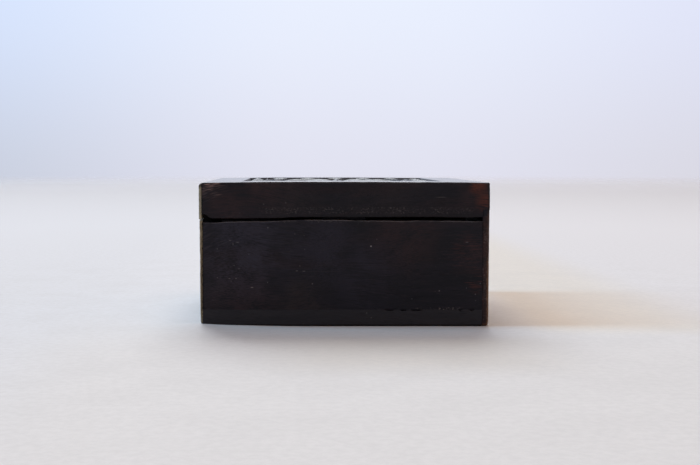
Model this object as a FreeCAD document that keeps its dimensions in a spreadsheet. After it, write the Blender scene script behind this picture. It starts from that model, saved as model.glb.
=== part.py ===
"""A wooden puzzle box with a sliding lid, in millimetres.

The frame has +Z up and the front face towards -Y. The origin is at the middle of the underside.

The lid slides towards the front on dovetail runners. Two things can hold it shut. The front panel is
loose, and when the box is tipped it rises, so that the key on its back catches the batten under the lid.
Behind, a fork under the lid hangs between two blocks with a loose steel pin in each. With the box level the
panel drops, and when the box is spun on the table both pins fly outwards and free the fork.
"""

import FreeCAD, Part
import os

import Sketcher

TINY = 1e-4

DIMENSIONS = {
    "box_width": 80.0,  # outside, left to right
    "box_depth": 80.0,  # outside, front to back
    "box_height": 40.0,  # outside, underside to the top of the lid
    "side_wall": 6.0,  # thickness of each side wall
    "right_lip": 1.8,  # end of the right wall that shows in the front
    "back_thick": 5.0,  # thickness of the back wall
    "base_thick": 4.65,  # thickness of the base board
    "panel_thick": 4.0,  # thickness of the loose front panel
    "inner_front_thick": 4.8,  # thickness of the wall behind the front panel
    "inner_front_gap": 1.0,  # from the strips under the lid down to the top of that wall
    "lid_thick": 7.8,  # thickness of the lid board
    "lid_strip": 0.8,  # thickness of the strip on the lid's left edge
    "strip_drop": 1.9,  # height of the cleat, batten and runners under the lid
    "slit": 0.8,  # open line between the front panel and the cleat
    "run_gap": 0.2,  # clearance round what slides
    "undercut": 1.9,  # how far the dovetail groove cuts under the wall's top
    "runner_width": 3.8,  # top width of a lid runner
    "runner_end_gap": 0.3,  # from a runner's end to what it stops short of
    "catch_gap": 0.3,  # play between the key and what it catches
    "batten_width": 3.0,  # front to back
    "key_depth": 3.0,  # front to back
    "key_neck": 12.0,  # key's width against the panel
    "key_tail": 16.0,  # key's width at its back face
    "key_bottom": 8.0,  # height of the key's lower end
    "key_top_gap": 0.1,  # from the key's top up to the strips under the lid
    "pin_drop": 7.8,  # from the lid board down to the pins' axis
    "pin_width": 4.0,  # diameter of a pin's shank
    "pin_fit": 0.1,  # radial clearance round a pin
    "pin_point": 0.4,  # bevel on a pin's tip
    "pin_travel": 4.7,  # from the pins at rest outside to their heads at the guide
    "head_step": 0.6,  # how far a pin's head stands out round its shank
    "head_length": 3.0,  # length of a pin's head
    "pin_setback": 0.8,  # from the block's mouth to the pin's tip
    "pin_end_gap": 0.3,  # from the pin's head to the plug
    "plug_length": 7.0,  # length of the plug in a block's bore
    "block_wall": 0.8,  # wood left in front of and behind the bore
    "block_above": 5.0,  # from the pins' axis up to the block's top
    "block_below": 6.0,  # from the pins' axis down to the block's underside
    "guide_length": 4.8,  # the narrow stretch of the block's bore
    "fork_width": 7.2,  # left to right
    "fork_side_gap": 0.6,  # from the fork to each block
    "fork_below": 2.5,  # from the pins' axis down to the fork's tips
    "notch_side_gap": 0.2,  # from a pin to the side of the fork's notch
    "notch_top_gap": 0.3,  # from a pin to the top of the fork's notch
    "peg_width": 2.4,  # diameter of a wooden peg
    "peg_fit": 0.02,  # radial clearance round a peg
    "peg_bite": 8.0,  # depth of a peg in the board behind
    "base_peg_inset": 14.0,  # from each end of a side wall to a peg under the base
    "back_peg_inset": 6.7,  # from the base and from the lid's strips to a peg in the back wall
    "key_peg_inset": 4.0,  # from each end of the key to a peg
    "key_peg_bite": 2.2,  # depth of a key peg in the front panel
    "edge_round": 0.6,  # rounding of the box's outer edges
    "soft_edge": 0.35,  # rounding of the lid's top and the panel's face
    "cleat_round": 0.4,  # rounding of the cleat's lower front edge
    "carving_margin": 11.5,  # from the box's outside to the sunken carved field in the lid's top
    "carving_depth": 0.85,  # from the lid's top down to the ground of that field
    "leaf_height": 0.8,  # how far the carved leaves rise from the ground
    "leaf_gap": 0.5,  # from the tips and sides of leaves to what lies beside them
    "border_leaf_width": 4.4,  # width of the leaves round the field's border
    "ridge_height": 0.6,  # how far the carved ridges rise from the ground
    "ridge_width": 1.1,  # width of a ridge at its foot
    "ridge_top": 0.2,  # flat width along the top of a ridge
    "ring_gap": 0.6,  # from the square ridge to the round one inside it
    "hub_gap": 1.4,  # from the middle of the rosette to its petals
    "petal_width": 6.0,  # width of the rosette's petals
    "bud_length": 10.5,  # length of the leaves between the petals
    "bud_width": 3.4,  # width of those leaves
    "corner_leaf_width": 3.0,  # width of the slanting leaves
    "border_corner_length": 6.2,  # length of the slanting leaves in the border's corners
    "ring_corner_length": 7.4,  # length of the slanting leaves between the two ridges
    "ring_corner_inset": 3.4,  # from the square ridge to the middle of such a leaf
}

doc = FreeCAD.newDocument("puzzle_box")
sheet = doc.addObject("Spreadsheet::Sheet", "dims")
for row, (alias, size) in enumerate(DIMENSIONS.items(), start=1):
    sheet.set(f"A{row}", alias.replace("_", " "))
    sheet.set(f"B{row}", str(size))
    sheet.setAlias(f"B{row}", alias)
doc.recompute()

# Places along each axis, as expressions on the sheet
LEFT = "(-dims.box_width / 2)"
RIGHT = "(dims.box_width / 2)"
STRIP_INNER = f"({LEFT} + dims.lid_strip)"
LEFT_LIP = f"({STRIP_INNER} + dims.run_gap)"
RIGHT_LIP = f"({RIGHT} - dims.right_lip)"
INSIDE = f"({RIGHT} - dims.side_wall)"
PEG_LINE = f"(({INSIDE} + {RIGHT_LIP}) / 2)"

FRONT = "(-dims.box_depth / 2)"
BACK = "(dims.box_depth / 2)"
PANEL_BACK = f"({FRONT} + dims.panel_thick)"
SHOULDER = f"({PANEL_BACK} + dims.run_gap)"
KEY_BACK = f"({PANEL_BACK} + dims.key_depth)"
ROOM_FRONT = f"({SHOULDER} + dims.inner_front_thick)"
ROOM_BACK = f"({BACK} - dims.back_thick)"
HEAD_BORE = "(dims.pin_width / 2 + dims.head_step + dims.pin_fit)"
PIN_SET = f"({HEAD_BORE} + dims.block_wall)"
PIN_Y = f"({ROOM_BACK} - {PIN_SET})"

FLOOR = "dims.base_thick"
TOP = "dims.box_height"
LID_UNDER = f"({TOP} - dims.lid_thick)"
STRIP_UNDER = f"({LID_UNDER} - dims.strip_drop)"
PANEL_TOP = f"({STRIP_UNDER} - dims.slit)"
KEY_TOP = f"({STRIP_UNDER} - dims.key_top_gap)"
PIN_Z = f"({LID_UNDER} - dims.pin_drop)"

BLOCK_MOUTH = "(dims.fork_width / 2 + dims.fork_side_gap)"
GUIDE_END = f"({BLOCK_MOUTH} + dims.guide_length)"
PIN_TIP = f"({BLOCK_MOUTH} + dims.pin_setback)"
PIN_NECK = f"({GUIDE_END} + dims.pin_travel)"
PIN_END = f"({PIN_NECK} + dims.head_length)"
PLUG_START = f"({PIN_END} + dims.pin_end_gap)"
BLOCK_END = f"({PLUG_START} + dims.plug_length)"
PEG_HOLE = "(dims.peg_width / 2 + dims.peg_fit)"

# Places in the carving, from the middle of the lid outwards
FIELD_X = f"({RIGHT} - dims.carving_margin)"
FIELD_Y = f"({BACK} - dims.carving_margin)"
BORDER = "(dims.border_leaf_width + 2 * dims.leaf_gap)"
RIDGED = f"({BORDER} + dims.ridge_width)"
RING = f"(min({FIELD_X}; {FIELD_Y}) - {RIDGED} - dims.ring_gap)"
PETAL_TIP = f"({RING} - dims.ridge_width - dims.leaf_gap)"
CARVING_GROUND = f"({TOP} - dims.carving_depth)"
BORDER_LEAVES = 5
PETALS = 6
# The cones that shape a leaf run on past its crest by this factor
CREST_OVERRUN = 1.25

PLANES = {"xy": "XY_Plane", "xz": "XZ_Plane", "yz": "YZ_Plane"}
TURNS = {
    "x": FreeCAD.Rotation(FreeCAD.Vector(0, 1, 0), 90),
    "y": FreeCAD.Rotation(FreeCAD.Vector(1, 0, 0), -90),
    "z": FreeCAD.Rotation(),
}
SIDES = {"left": -1, "right": 1}
sub_parts = []


def number(expression):
    """The value of an expression on the sheet."""
    value = sheet.evalExpression(expression)
    return float(getattr(value, "Value", value))


def mirrored(side, near, far):
    """The low and high ends of a stretch that lies from near to far out on one side."""
    return (near, far) if side > 0 else (f"-({far})", f"-({near})")


def new_body(name):
    """An empty body that becomes one sub-part."""
    body = doc.addObject("PartDesign::Body", name)
    sub_parts.append(body)
    return body


def new_sketch(body, plane, low, high):
    """A sketch square to one axis, from which a feature runs the whole way between low and high."""
    sketch = body.newObject("Sketcher::SketchObject", f"{body.Name}_sketch")
    origin = next(f for f in body.Origin.OriginFeatures if f.Role == PLANES[plane])
    sketch.AttachmentSupport = (origin, [""])
    sketch.MapMode = "FlatFace"
    # The XZ plane faces -Y, so its features start at the high end
    sketch.setExpression("AttachmentOffset.Base.z", f"-({high})" if plane == "xz" else low)
    return sketch


def draw_outline(sketch, points):
    """A closed outline whose corners are each held by two distances from the sketch's origin."""
    corners = [FreeCAD.Vector(number(u), number(v), 0) for u, v in points]
    for index, corner in enumerate(corners):
        sketch.addGeometry(Part.LineSegment(corner, corners[(index + 1) % len(corners)]))
    for index in range(len(corners)):
        following = (index + 1) % len(corners)
        sketch.addConstraint(Sketcher.Constraint("Coincident", index, 2, following, 1))
    for index, (corner, place) in enumerate(zip(corners, points)):
        for kind, distance, expression in zip(("DistanceX", "DistanceY"), corner, place):
            held = sketch.addConstraint(Sketcher.Constraint(kind, -1, 1, index, 1, distance))
            sketch.setExpression(f"Constraints[{held}]", expression)


def draw_circles(sketch, centres, radius):
    """Circles of one radius, each centre held by two distances."""
    for index, place in enumerate(centres):
        centre = FreeCAD.Vector(number(place[0]), number(place[1]), 0)
        sketch.addGeometry(Part.Circle(centre, FreeCAD.Vector(0, 0, 1), number(radius)))
        held = sketch.addConstraint(Sketcher.Constraint("Radius", index, number(radius)))
        sketch.setExpression(f"Constraints[{held}]", radius)
        for kind, distance, expression in zip(("DistanceX", "DistanceY"), centre, place):
            held = sketch.addConstraint(Sketcher.Constraint(kind, -1, 1, index, 3, distance))
            sketch.setExpression(f"Constraints[{held}]", expression)


def rectangle(u, v):
    """The corners of a rectangle between two pairs of places."""
    return [(u[0], v[0]), (u[1], v[0]), (u[1], v[1]), (u[0], v[1])]


def pad(body, plane, points, low, high):
    """A solid of one section that runs from low to high."""
    sketch = new_sketch(body, plane, low, high)
    draw_outline(sketch, points)
    feature = body.newObject("PartDesign::Pad", f"{body.Name}_pad")
    feature.Profile = sketch
    feature.setExpression("Length", f"({high}) - ({low})")
    doc.recompute()
    return feature


def cut(body, sketch, low, high):
    """Takes a sketch's shape out of the body from low to high, and makes sure that something went."""
    before = body.Shape.Volume
    feature = body.newObject("PartDesign::Pocket", f"{body.Name}_pocket")
    feature.Profile = sketch
    feature.Reversed = True
    feature.setExpression("Length", f"({high}) - ({low})")
    doc.recompute()
    if before - body.Shape.Volume < TINY:
        raise RuntimeError(f"{feature.Name} cuts nothing")


def pocket(body, plane, points, low, high):
    """A cut of one section from low to high."""
    sketch = new_sketch(body, plane, low, high)
    draw_outline(sketch, points)
    cut(body, sketch, low, high)


def bores(body, plane, centres, radius, low, high):
    """Round holes of one radius from low to high."""
    sketch = new_sketch(body, plane, low, high)
    draw_circles(sketch, centres, radius)
    cut(body, sketch, low, high)


def lies_at(edge, **places):
    """Whether a whole edge lies at the given places, such as x=LEFT."""
    box = edge.BoundBox
    ends = {"x": (box.XMin, box.XMax), "y": (box.YMin, box.YMax), "z": (box.ZMin, box.ZMax)}
    return all(abs(end - number(place)) < TINY for axis, place in places.items() for end in ends[axis])


def round_edges(body, radius, *rows, clear_of=None):
    """Rounds every edge that lies at one of the rows of places, apart from those at clear_of."""
    names = [
        f"Edge{index}"
        for index, edge in enumerate(body.Tip.Shape.Edges, start=1)
        if any(lies_at(edge, **row) for row in rows) and not (clear_of and lies_at(edge, **clear_of))
    ]
    fillet = body.newObject("PartDesign::Fillet", f"{body.Name}_fillet")
    fillet.Base = (fillet.BaseFeature, names)
    fillet.setExpression("Radius", radius)
    doc.recompute()


def block(name, x, y, z):
    """A plain block between three pairs of places."""
    box = doc.addObject("Part::Box", name)
    for length, axis, (low, high) in zip(("Length", "Width", "Height"), "xyz", (x, y, z)):
        box.setExpression(length, f"({high}) - ({low})")
        box.setExpression(f"Placement.Base.{axis}", low)
    sub_parts.append(box)
    return box


def rod(name, axis, start, radius, length):
    """A round rod that runs from start along one axis."""
    cylinder = doc.addObject("Part::Cylinder", name)
    cylinder.Placement = FreeCAD.Placement(FreeCAD.Vector(), TURNS[axis])
    cylinder.setExpression("Radius", radius)
    cylinder.setExpression("Height", length)
    for direction, place in zip("xyz", start):
        cylinder.setExpression(f"Placement.Base.{direction}", place)
    return cylinder


def group(name, members):
    """Like pieces that share one name, each its own solid."""
    compound = doc.addObject("Part::Compound", name)
    compound.Links = members
    sub_parts.append(compound)


# Where the pegs end, and where they stand, shared by the pegs and their holes
BASE_PEG_END = f"({FLOOR} + dims.peg_bite)"
BACK_PEG_END = f"({ROOM_BACK} - dims.peg_bite)"
KEY_PEG_END = f"({PANEL_BACK} - dims.key_peg_bite)"
KEY_PEGS = [("0", "dims.key_bottom + dims.key_peg_inset"), ("0", f"{KEY_TOP} - dims.key_peg_inset")]


def base_pegs(side):
    """Where the pegs under one side wall stand, from front to back."""
    middle = f"({SHOULDER} + {ROOM_BACK}) / 2"
    rows = (f"{SHOULDER} + dims.base_peg_inset", middle, f"{ROOM_BACK} - dims.base_peg_inset")
    return [(f"{side} * {PEG_LINE}", y) for y in rows]


def back_pegs(side):
    """Where the pegs into the end of one side wall stand, from the lower up."""
    rows = (f"{FLOOR} + dims.back_peg_inset", f"{STRIP_UNDER} - dims.back_peg_inset")
    return [(f"{side} * {PEG_LINE}", z) for z in rows]


def both_sides(places):
    """The places on the left and then those on the right."""
    return [place for side in SIDES.values() for place in places(side)]


def make_base_board():
    """The board that closes the box below, from lip to lip of the side walls."""
    body = new_body("base_board")
    pad(body, "xy", rectangle((LEFT_LIP, RIGHT_LIP), (FRONT, BACK)), "0", FLOOR)
    bores(body, "xy", both_sides(base_pegs), PEG_HOLE, "0", FLOOR)
    round_edges(body, "dims.soft_edge", {"y": FRONT, "z": "0"}, {"y": BACK, "z": "0"})


def make_side_wall(name, side):
    """A side wall with a dovetail groove along its inner top, rebated for the base, front and back."""
    body = new_body(name)
    outer = LEFT if side < 0 else RIGHT
    lip = LEFT_LIP if side < 0 else RIGHT_LIP
    inner = f"{side} * {INSIDE}"
    groove = f"{side} * ({INSIDE} + dims.undercut)"
    groove_floor = f"{STRIP_UNDER} - dims.run_gap"
    section = [
        (outer, "0"),
        (lip, "0"),
        (lip, FLOOR),
        (inner, FLOOR),
        (inner, groove_floor),
        (groove, groove_floor),
        (inner, LID_UNDER),
        (outer, LID_UNDER),
    ]
    pad(body, "xz", section, FRONT, BACK)
    rebate = (lip, inner) if side > 0 else (inner, lip)
    for start, end in ((FRONT, SHOULDER), (ROOM_BACK, BACK)):
        pocket(body, "xy", rectangle(rebate, (start, end)), FLOOR, LID_UNDER)
    if side < 0:
        # Room for the strip on the lid's left edge
        strip_floor = f"{PANEL_TOP} - dims.run_gap"
        pocket(body, "xz", rectangle((LEFT, LEFT_LIP), (strip_floor, LID_UNDER)), FRONT, BACK)
    bores(body, "xy", base_pegs(side), PEG_HOLE, FLOOR, BASE_PEG_END)
    bores(body, "xz", back_pegs(side), PEG_HOLE, BACK_PEG_END, ROOM_BACK)
    radius = f"min(dims.edge_round; 0.6 * abs({lip} - {outer}))"
    round_edges(body, radius, {"x": outer, "y": FRONT}, {"x": outer, "y": BACK}, {"x": outer, "z": "0"})


def make_back_wall():
    """The back wall, pegged to the ends of the side walls."""
    body = new_body("back_wall")
    pad(body, "xy", rectangle((LEFT_LIP, RIGHT_LIP), (ROOM_BACK, BACK)), FLOOR, LID_UNDER)
    bores(body, "xz", both_sides(back_pegs), PEG_HOLE, ROOM_BACK, BACK)


def make_inner_front_wall():
    """The fixed wall behind the front panel, with a dovetail slot in which the panel's key rides."""
    body = new_body("inner_front_wall")
    top = f"({STRIP_UNDER} - dims.inner_front_gap)"
    pad(body, "xy", rectangle((f"-{INSIDE}", INSIDE), (SHOULDER, ROOM_FRONT)), FLOOR, top)
    flare = "((dims.key_tail - dims.key_neck) / 2 / dims.key_depth)"
    neck = "(dims.key_neck / 2 + dims.run_gap)"
    tail = f"(dims.key_tail / 2 + dims.run_gap + {flare} * dims.run_gap)"
    slot_back = f"{KEY_BACK} + dims.run_gap"
    slot = [(f"-{neck}", PANEL_BACK), (neck, PANEL_BACK), (tail, slot_back), (f"-{tail}", slot_back)]
    pocket(body, "xy", slot, "dims.key_bottom - dims.run_gap", top)


def make_lock_block(name, side):
    """A block on the back wall, bored along the box for a loose pin."""
    body = new_body(name)
    low, high = mirrored(side, BLOCK_MOUTH, BLOCK_END)
    upright = (f"{PIN_Z} - dims.block_below", f"{PIN_Z} + dims.block_above")
    section = rectangle((f"{PIN_Y} - {PIN_SET}", ROOM_BACK), upright)
    pad(body, "yz", section, low, high)
    bores(body, "yz", [(PIN_Y, PIN_Z)], "dims.pin_width / 2 + dims.pin_fit", low, high)
    bores(body, "yz", [(PIN_Y, PIN_Z)], HEAD_BORE, *mirrored(side, GUIDE_END, BLOCK_END))


def make_bore_plug(name, side):
    """A wooden plug that closes the wide end of a block's bore."""
    start, end = mirrored(side, PLUG_START, BLOCK_END)
    plug = rod(name, "x", (start, PIN_Y, PIN_Z), HEAD_BORE, f"({end}) - ({start})")
    sub_parts.append(plug)


def make_lock_pin(name, side):
    """A headed steel pin, turned about its own length."""
    body = new_body(name)
    sketch = new_sketch(body, "xy", "0", "0")
    shank = "dims.pin_width / 2"
    head = f"{shank} + dims.head_step"
    outline = [
        (PIN_TIP, "0"),
        (PIN_TIP, f"{shank} - dims.pin_point"),
        (f"{PIN_TIP} + dims.pin_point", shank),
        (PIN_NECK, shank),
        (PIN_NECK, head),
        (PIN_END, head),
        (PIN_END, "0"),
    ]
    draw_outline(sketch, [(f"{side} * ({along})", out) for along, out in outline])
    turned = body.newObject("PartDesign::Revolution", f"{name}_turning")
    turned.Profile = sketch
    turned.ReferenceAxis = (sketch, ["H_Axis"])
    body.setExpression("Placement.Base.y", PIN_Y)
    body.setExpression("Placement.Base.z", PIN_Z)
    doc.recompute()


def make_pegs():
    """The pegs under the base, in the back wall and through the key."""
    radius = "dims.peg_width / 2"
    base = [rod("base_peg", "z", (x, y, "0"), radius, BASE_PEG_END) for x, y in both_sides(base_pegs)]
    group("base_pegs", base)
    length = f"{BACK} - {BACK_PEG_END}"
    back = [rod("back_peg", "y", (x, BACK_PEG_END, z), radius, length) for x, z in both_sides(back_pegs)]
    group("back_wall_pegs", back)
    length = f"{KEY_BACK} - {KEY_PEG_END}"
    key = [rod("key_peg", "y", (x, KEY_PEG_END, z), radius, length) for x, z in KEY_PEGS]
    group("key_pegs", key)


def make_front_panel():
    """The loose panel in the front, which can rise by most of the slit."""
    body = new_body("front_panel")
    left, right = f"({LEFT_LIP} + dims.run_gap)", f"({RIGHT_LIP} - dims.run_gap)"
    pad(body, "xy", rectangle((left, right), (FRONT, PANEL_BACK)), FLOOR, PANEL_TOP)
    bores(body, "xz", KEY_PEGS, PEG_HOLE, KEY_PEG_END, PANEL_BACK)
    round_edges(body, "dims.soft_edge", {"y": FRONT})


def make_panel_key():
    """The dovetail key on the back of the front panel."""
    body = new_body("panel_key")
    neck, tail = "(dims.key_neck / 2)", "(dims.key_tail / 2)"
    section = [(f"-{neck}", PANEL_BACK), (neck, PANEL_BACK), (tail, KEY_BACK), (f"-{tail}", KEY_BACK)]
    pad(body, "xy", section, "dims.key_bottom", KEY_TOP)
    bores(body, "xz", KEY_PEGS, PEG_HOLE, PANEL_BACK, KEY_BACK)


def leaf(name, length, width):
    """A crested leaf, pointed at both ends: what two wide cones, side by side, have in common."""
    half = f"(({width}) / 2)"
    radius = f"((({length})^2 / 4 + {half}^2) / (2 * {half}))"
    cones = []
    for side in SIDES.values():
        cone = doc.addObject("Part::Cone", f"{name}_cone")
        cone.setExpression("Radius1", radius)
        cone.setExpression("Radius2", f"{radius} - {CREST_OVERRUN} * {half}")
        cone.setExpression("Height", f"{CREST_OVERRUN} * dims.leaf_height")
        cone.setExpression("Placement.Base.y", f"{side} * ({radius} - {half})")
        cone.setExpression("Placement.Base.z", CARVING_GROUND)
        cones.append(cone)
    common = doc.addObject("Part::Common", name)
    common.Base, common.Tool = cones
    return common


def placed(original, x, y, degrees):
    """A copy of a leaf, turned and set at a place in the carving."""
    copy = doc.addObject("App::Link", f"{original.Name}_copy")
    copy.LinkedObject = original
    copy.Placement = FreeCAD.Placement(FreeCAD.Vector(), FreeCAD.Rotation(degrees, 0, 0))
    copy.setExpression("Placement.Base.x", x)
    copy.setExpression("Placement.Base.y", y)
    return copy


def rosette(original, middle, first):
    """Copies of a leaf that point out from the middle of the carving, all the way round."""
    copies = []
    for index in range(PETALS):
        angle = first + index * 360 / PETALS
        place = [f"({middle}) * {part}({angle} deg)" for part in ("cos", "sin")]
        copies.append(placed(original, *place, angle))
    return copies


def border_rows(name, along, across, degrees):
    """The rows of leaves on two opposite sides of the border."""
    pitch = f"(2 * ({along} - {BORDER}) / {BORDER_LEAVES})"
    original = leaf(name, f"{pitch} - dims.leaf_gap", "dims.border_leaf_width")
    copies = []
    for side in SIDES.values():
        row = f"{side} * ({across} - {BORDER} / 2)"
        for index in range(BORDER_LEAVES):
            step = f"{pitch} * {index - (BORDER_LEAVES - 1) / 2}"
            place = (row, step) if degrees else (step, row)
            copies.append(placed(original, *place, degrees))
    return copies


def corner_leaves(name, length, inset):
    """Four leaves on the slant, each at an inset from two sides of the field."""
    original = leaf(name, length, "dims.corner_leaf_width")
    copies = []
    for x_side in SIDES.values():
        for y_side in SIDES.values():
            place = (f"{x_side} * ({FIELD_X} - {inset})", f"{y_side} * ({FIELD_Y} - {inset})")
            copies.append(placed(original, *place, 45 * x_side * y_side))
    return copies


def ridge(name, frustum):
    """A ridge that closes on itself: a frustum with another, which widens upwards, taken out."""
    slope = "(dims.ridge_width - dims.ridge_top) / 2"
    outer = frustum(f"{name}_outside", "0", slope)
    inner = frustum(f"{name}_inside", "dims.ridge_width", f"dims.ridge_width - {slope}")
    left = doc.addObject("Part::Cut", name)
    left.Base, left.Tool = outer, inner
    return left


def square_frustum(name, foot, top):
    """A low pyramid over the field inside the border, drawn in by foot below and by top above."""
    wedge = doc.addObject("Part::Wedge", name)
    for axis, reach in (("X", FIELD_X), ("Z", FIELD_Y)):
        for level, inset in (("", foot), ("2", top)):
            half = f"({reach} - {BORDER} - ({inset}))"
            wedge.setExpression(f"{axis}{level}min", f"-{half}")
            wedge.setExpression(f"{axis}{level}max", half)
    wedge.setExpression("Ymax", "dims.ridge_height")
    wedge.Placement = FreeCAD.Placement(FreeCAD.Vector(), TURNS["y"].inverted())
    wedge.setExpression("Placement.Base.z", CARVING_GROUND)
    return wedge


def round_frustum(name, foot, top):
    """A low cone over the rosette, drawn in by foot below and by top above."""
    cone = doc.addObject("Part::Cone", name)
    cone.setExpression("Radius1", f"{RING} - ({foot})")
    cone.setExpression("Radius2", f"{RING} - ({top})")
    cone.setExpression("Height", "dims.ridge_height")
    cone.setExpression("Placement.Base.z", CARVING_GROUND)
    return cone


def carving():
    """All that rises from the carved ground: a rosette in a ring, a square ridge and a border of leaves."""
    petal = leaf("petal", f"{PETAL_TIP} - dims.hub_gap", "dims.petal_width")
    bud = leaf("bud", "dims.bud_length", "dims.bud_width")
    ring_corner = f"({RIDGED} + dims.ring_corner_inset)"
    return [
        *rosette(petal, f"({PETAL_TIP} + dims.hub_gap) / 2", 0),
        *rosette(bud, f"{PETAL_TIP} - dims.bud_length / 2", 180 / PETALS),
        ridge("ring_ridge", round_frustum),
        ridge("square_ridge", square_frustum),
        *corner_leaves("ring_corner_leaf", "dims.ring_corner_length", ring_corner),
        *border_rows("border_leaf_x", FIELD_X, FIELD_Y, 0),
        *border_rows("border_leaf_y", FIELD_Y, FIELD_X, 90),
        *corner_leaves("border_corner_leaf", "dims.border_corner_length", f"({BORDER} / 2)"),
    ]


def make_lid_board():
    """The thick board on top, carved in low relief in a sunken field."""
    blank = doc.addObject("PartDesign::Body", "lid_blank")
    pad(blank, "xy", rectangle((STRIP_INNER, RIGHT), (FRONT, BACK)), LID_UNDER, TOP)
    round_edges(blank, "dims.edge_round", {"x": RIGHT, "y": FRONT}, {"x": RIGHT, "y": BACK})
    round_edges(blank, "dims.soft_edge", {"z": TOP}, clear_of={"x": STRIP_INNER})
    field = rectangle((f"-{FIELD_X}", FIELD_X), (f"-{FIELD_Y}", FIELD_Y))
    pocket(blank, "xy", field, CARVING_GROUND, TOP)
    board = doc.addObject("Part::MultiFuse", "lid_board")
    board.Shapes = [blank, *carving()]
    sub_parts.append(board)


def make_lid_left_strip():
    """The strip on the lid's left edge, which hangs past the slit."""
    body = new_body("lid_left_strip")
    pad(body, "xy", rectangle((LEFT, STRIP_INNER), (FRONT, BACK)), PANEL_TOP, TOP)
    radius = "min(dims.soft_edge; 0.6 * dims.lid_strip)"
    round_edges(body, radius, {"x": LEFT, "y": FRONT}, {"x": LEFT, "y": BACK}, {"x": LEFT, "z": TOP})


def make_lid_cleat():
    """The strip under the lid's front edge, just above the slit."""
    body = new_body("lid_cleat")
    across = (STRIP_INNER, f"{RIGHT_LIP} - dims.run_gap")
    pad(body, "xy", rectangle(across, (FRONT, f"{PANEL_BACK} - dims.catch_gap")), STRIP_UNDER, LID_UNDER)
    round_edges(body, "min(dims.cleat_round; 0.6 * dims.strip_drop)", {"y": FRONT, "z": STRIP_UNDER})


def make_lid_runner(name, side):
    """A dovetail runner under the lid, in the groove of one side wall."""
    body = new_body(name)
    slope = "(dims.undercut / (dims.strip_drop + dims.run_gap))"
    edge = f"({INSIDE} - dims.run_gap)"
    foot = f"({edge} + {slope} * dims.strip_drop)"
    root = f"({edge} - dims.runner_width)"
    section = [(root, STRIP_UNDER), (foot, STRIP_UNDER), (edge, LID_UNDER), (root, LID_UNDER)]
    ends = (f"{SHOULDER} + dims.runner_end_gap", f"{ROOM_BACK} - dims.runner_end_gap")
    pad(body, "xz", [(f"{side} * {x}", z) for x, z in section], *ends)


def make_lid_catch_batten():
    """The batten between the runners, which the raised key catches."""
    root = f"({INSIDE} - dims.run_gap - dims.runner_width)"
    front = f"{KEY_BACK} + dims.catch_gap"
    deep = (front, f"{front} + dims.batten_width")
    block("lid_catch_batten", (f"-{root}", root), deep, (STRIP_UNDER, LID_UNDER))


def make_lid_fork():
    """The fork under the lid's back edge, open below, whose notch the pins enter."""
    body = new_body("lid_fork")
    reach = f"({PIN_SET} - dims.run_gap)"
    half_notch = "(dims.pin_width / 2 + dims.notch_side_gap)"
    tips = f"{PIN_Z} - dims.fork_below"
    ends = ("-dims.fork_width / 2", "dims.fork_width / 2")
    whole = (f"{PIN_Y} - {reach}", f"{PIN_Y} + {reach}")
    pad(body, "yz", rectangle(whole, (tips, LID_UNDER)), *ends)
    notch = (f"{PIN_Y} - {half_notch}", f"{PIN_Y} + {half_notch}")
    notch_top = f"{PIN_Z} + dims.pin_width / 2 + dims.notch_top_gap"
    pocket(body, "yz", rectangle(notch, (tips, notch_top)), *ends)


make_base_board()
make_back_wall()
make_inner_front_wall()
for side_name, sign in SIDES.items():
    make_side_wall(f"{side_name}_wall", sign)
    make_lock_block(f"lock_block_{side_name}", sign)
    make_bore_plug(f"bore_plug_{side_name}", sign)
    make_lock_pin(f"lock_pin_{side_name}", sign)
    make_lid_runner(f"lid_runner_{side_name}", sign)
make_pegs()
make_front_panel()
make_panel_key()
make_lid_board()
make_lid_left_strip()
make_lid_cleat()
make_lid_catch_batten()
make_lid_fork()

doc.recompute()
for item in doc.Objects:
    if {"Invalid", "Error"} & set(item.State):
        raise RuntimeError(f"{item.Label} failed: {item.State}")
for item in sub_parts:
    if item.Shape.isNull() or not item.Shape.isValid():
        raise RuntimeError(f"{item.Label} has no valid shape")

os.makedirs("parts", exist_ok=True)
for item in sub_parts:
    item.Shape.exportStep(f"parts/{item.Label}.step")
    print(f"{item.Label}: {len(item.Shape.Solids)} solid, {item.Shape.Volume:.1f} mm3")
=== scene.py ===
"""Looks of a small wooden puzzle box: worn boards, a chip-carved lid, its stage, light and camera.

Lengths are in millimetres until mesh_object() and the stage turn them into metres.
"""

import math

import bmesh
import bpy
import numpy as np
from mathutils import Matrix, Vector
from mathutils.geometry import delaunay_2d_cdt


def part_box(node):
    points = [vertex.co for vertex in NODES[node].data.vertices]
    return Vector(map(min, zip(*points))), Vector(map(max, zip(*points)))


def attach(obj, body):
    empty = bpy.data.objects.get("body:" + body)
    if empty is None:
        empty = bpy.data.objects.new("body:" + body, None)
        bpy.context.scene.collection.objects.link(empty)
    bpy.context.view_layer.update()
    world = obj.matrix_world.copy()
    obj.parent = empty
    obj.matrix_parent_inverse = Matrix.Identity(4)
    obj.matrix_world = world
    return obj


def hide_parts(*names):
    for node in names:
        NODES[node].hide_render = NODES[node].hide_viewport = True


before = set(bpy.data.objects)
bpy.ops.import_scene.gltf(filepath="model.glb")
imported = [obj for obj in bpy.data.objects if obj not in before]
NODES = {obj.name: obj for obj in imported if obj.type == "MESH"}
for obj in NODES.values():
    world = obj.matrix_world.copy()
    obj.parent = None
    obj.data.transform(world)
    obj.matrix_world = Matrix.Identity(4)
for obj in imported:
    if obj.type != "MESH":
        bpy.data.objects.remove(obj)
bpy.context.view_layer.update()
MM = 0.001


# Sizes that the looks share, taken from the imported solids


def box_mm(node):
    """Lowest and highest corner of a CAD node, in millimetres."""
    low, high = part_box(node)
    return np.array(low) / MM, np.array(high) / MM


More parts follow.
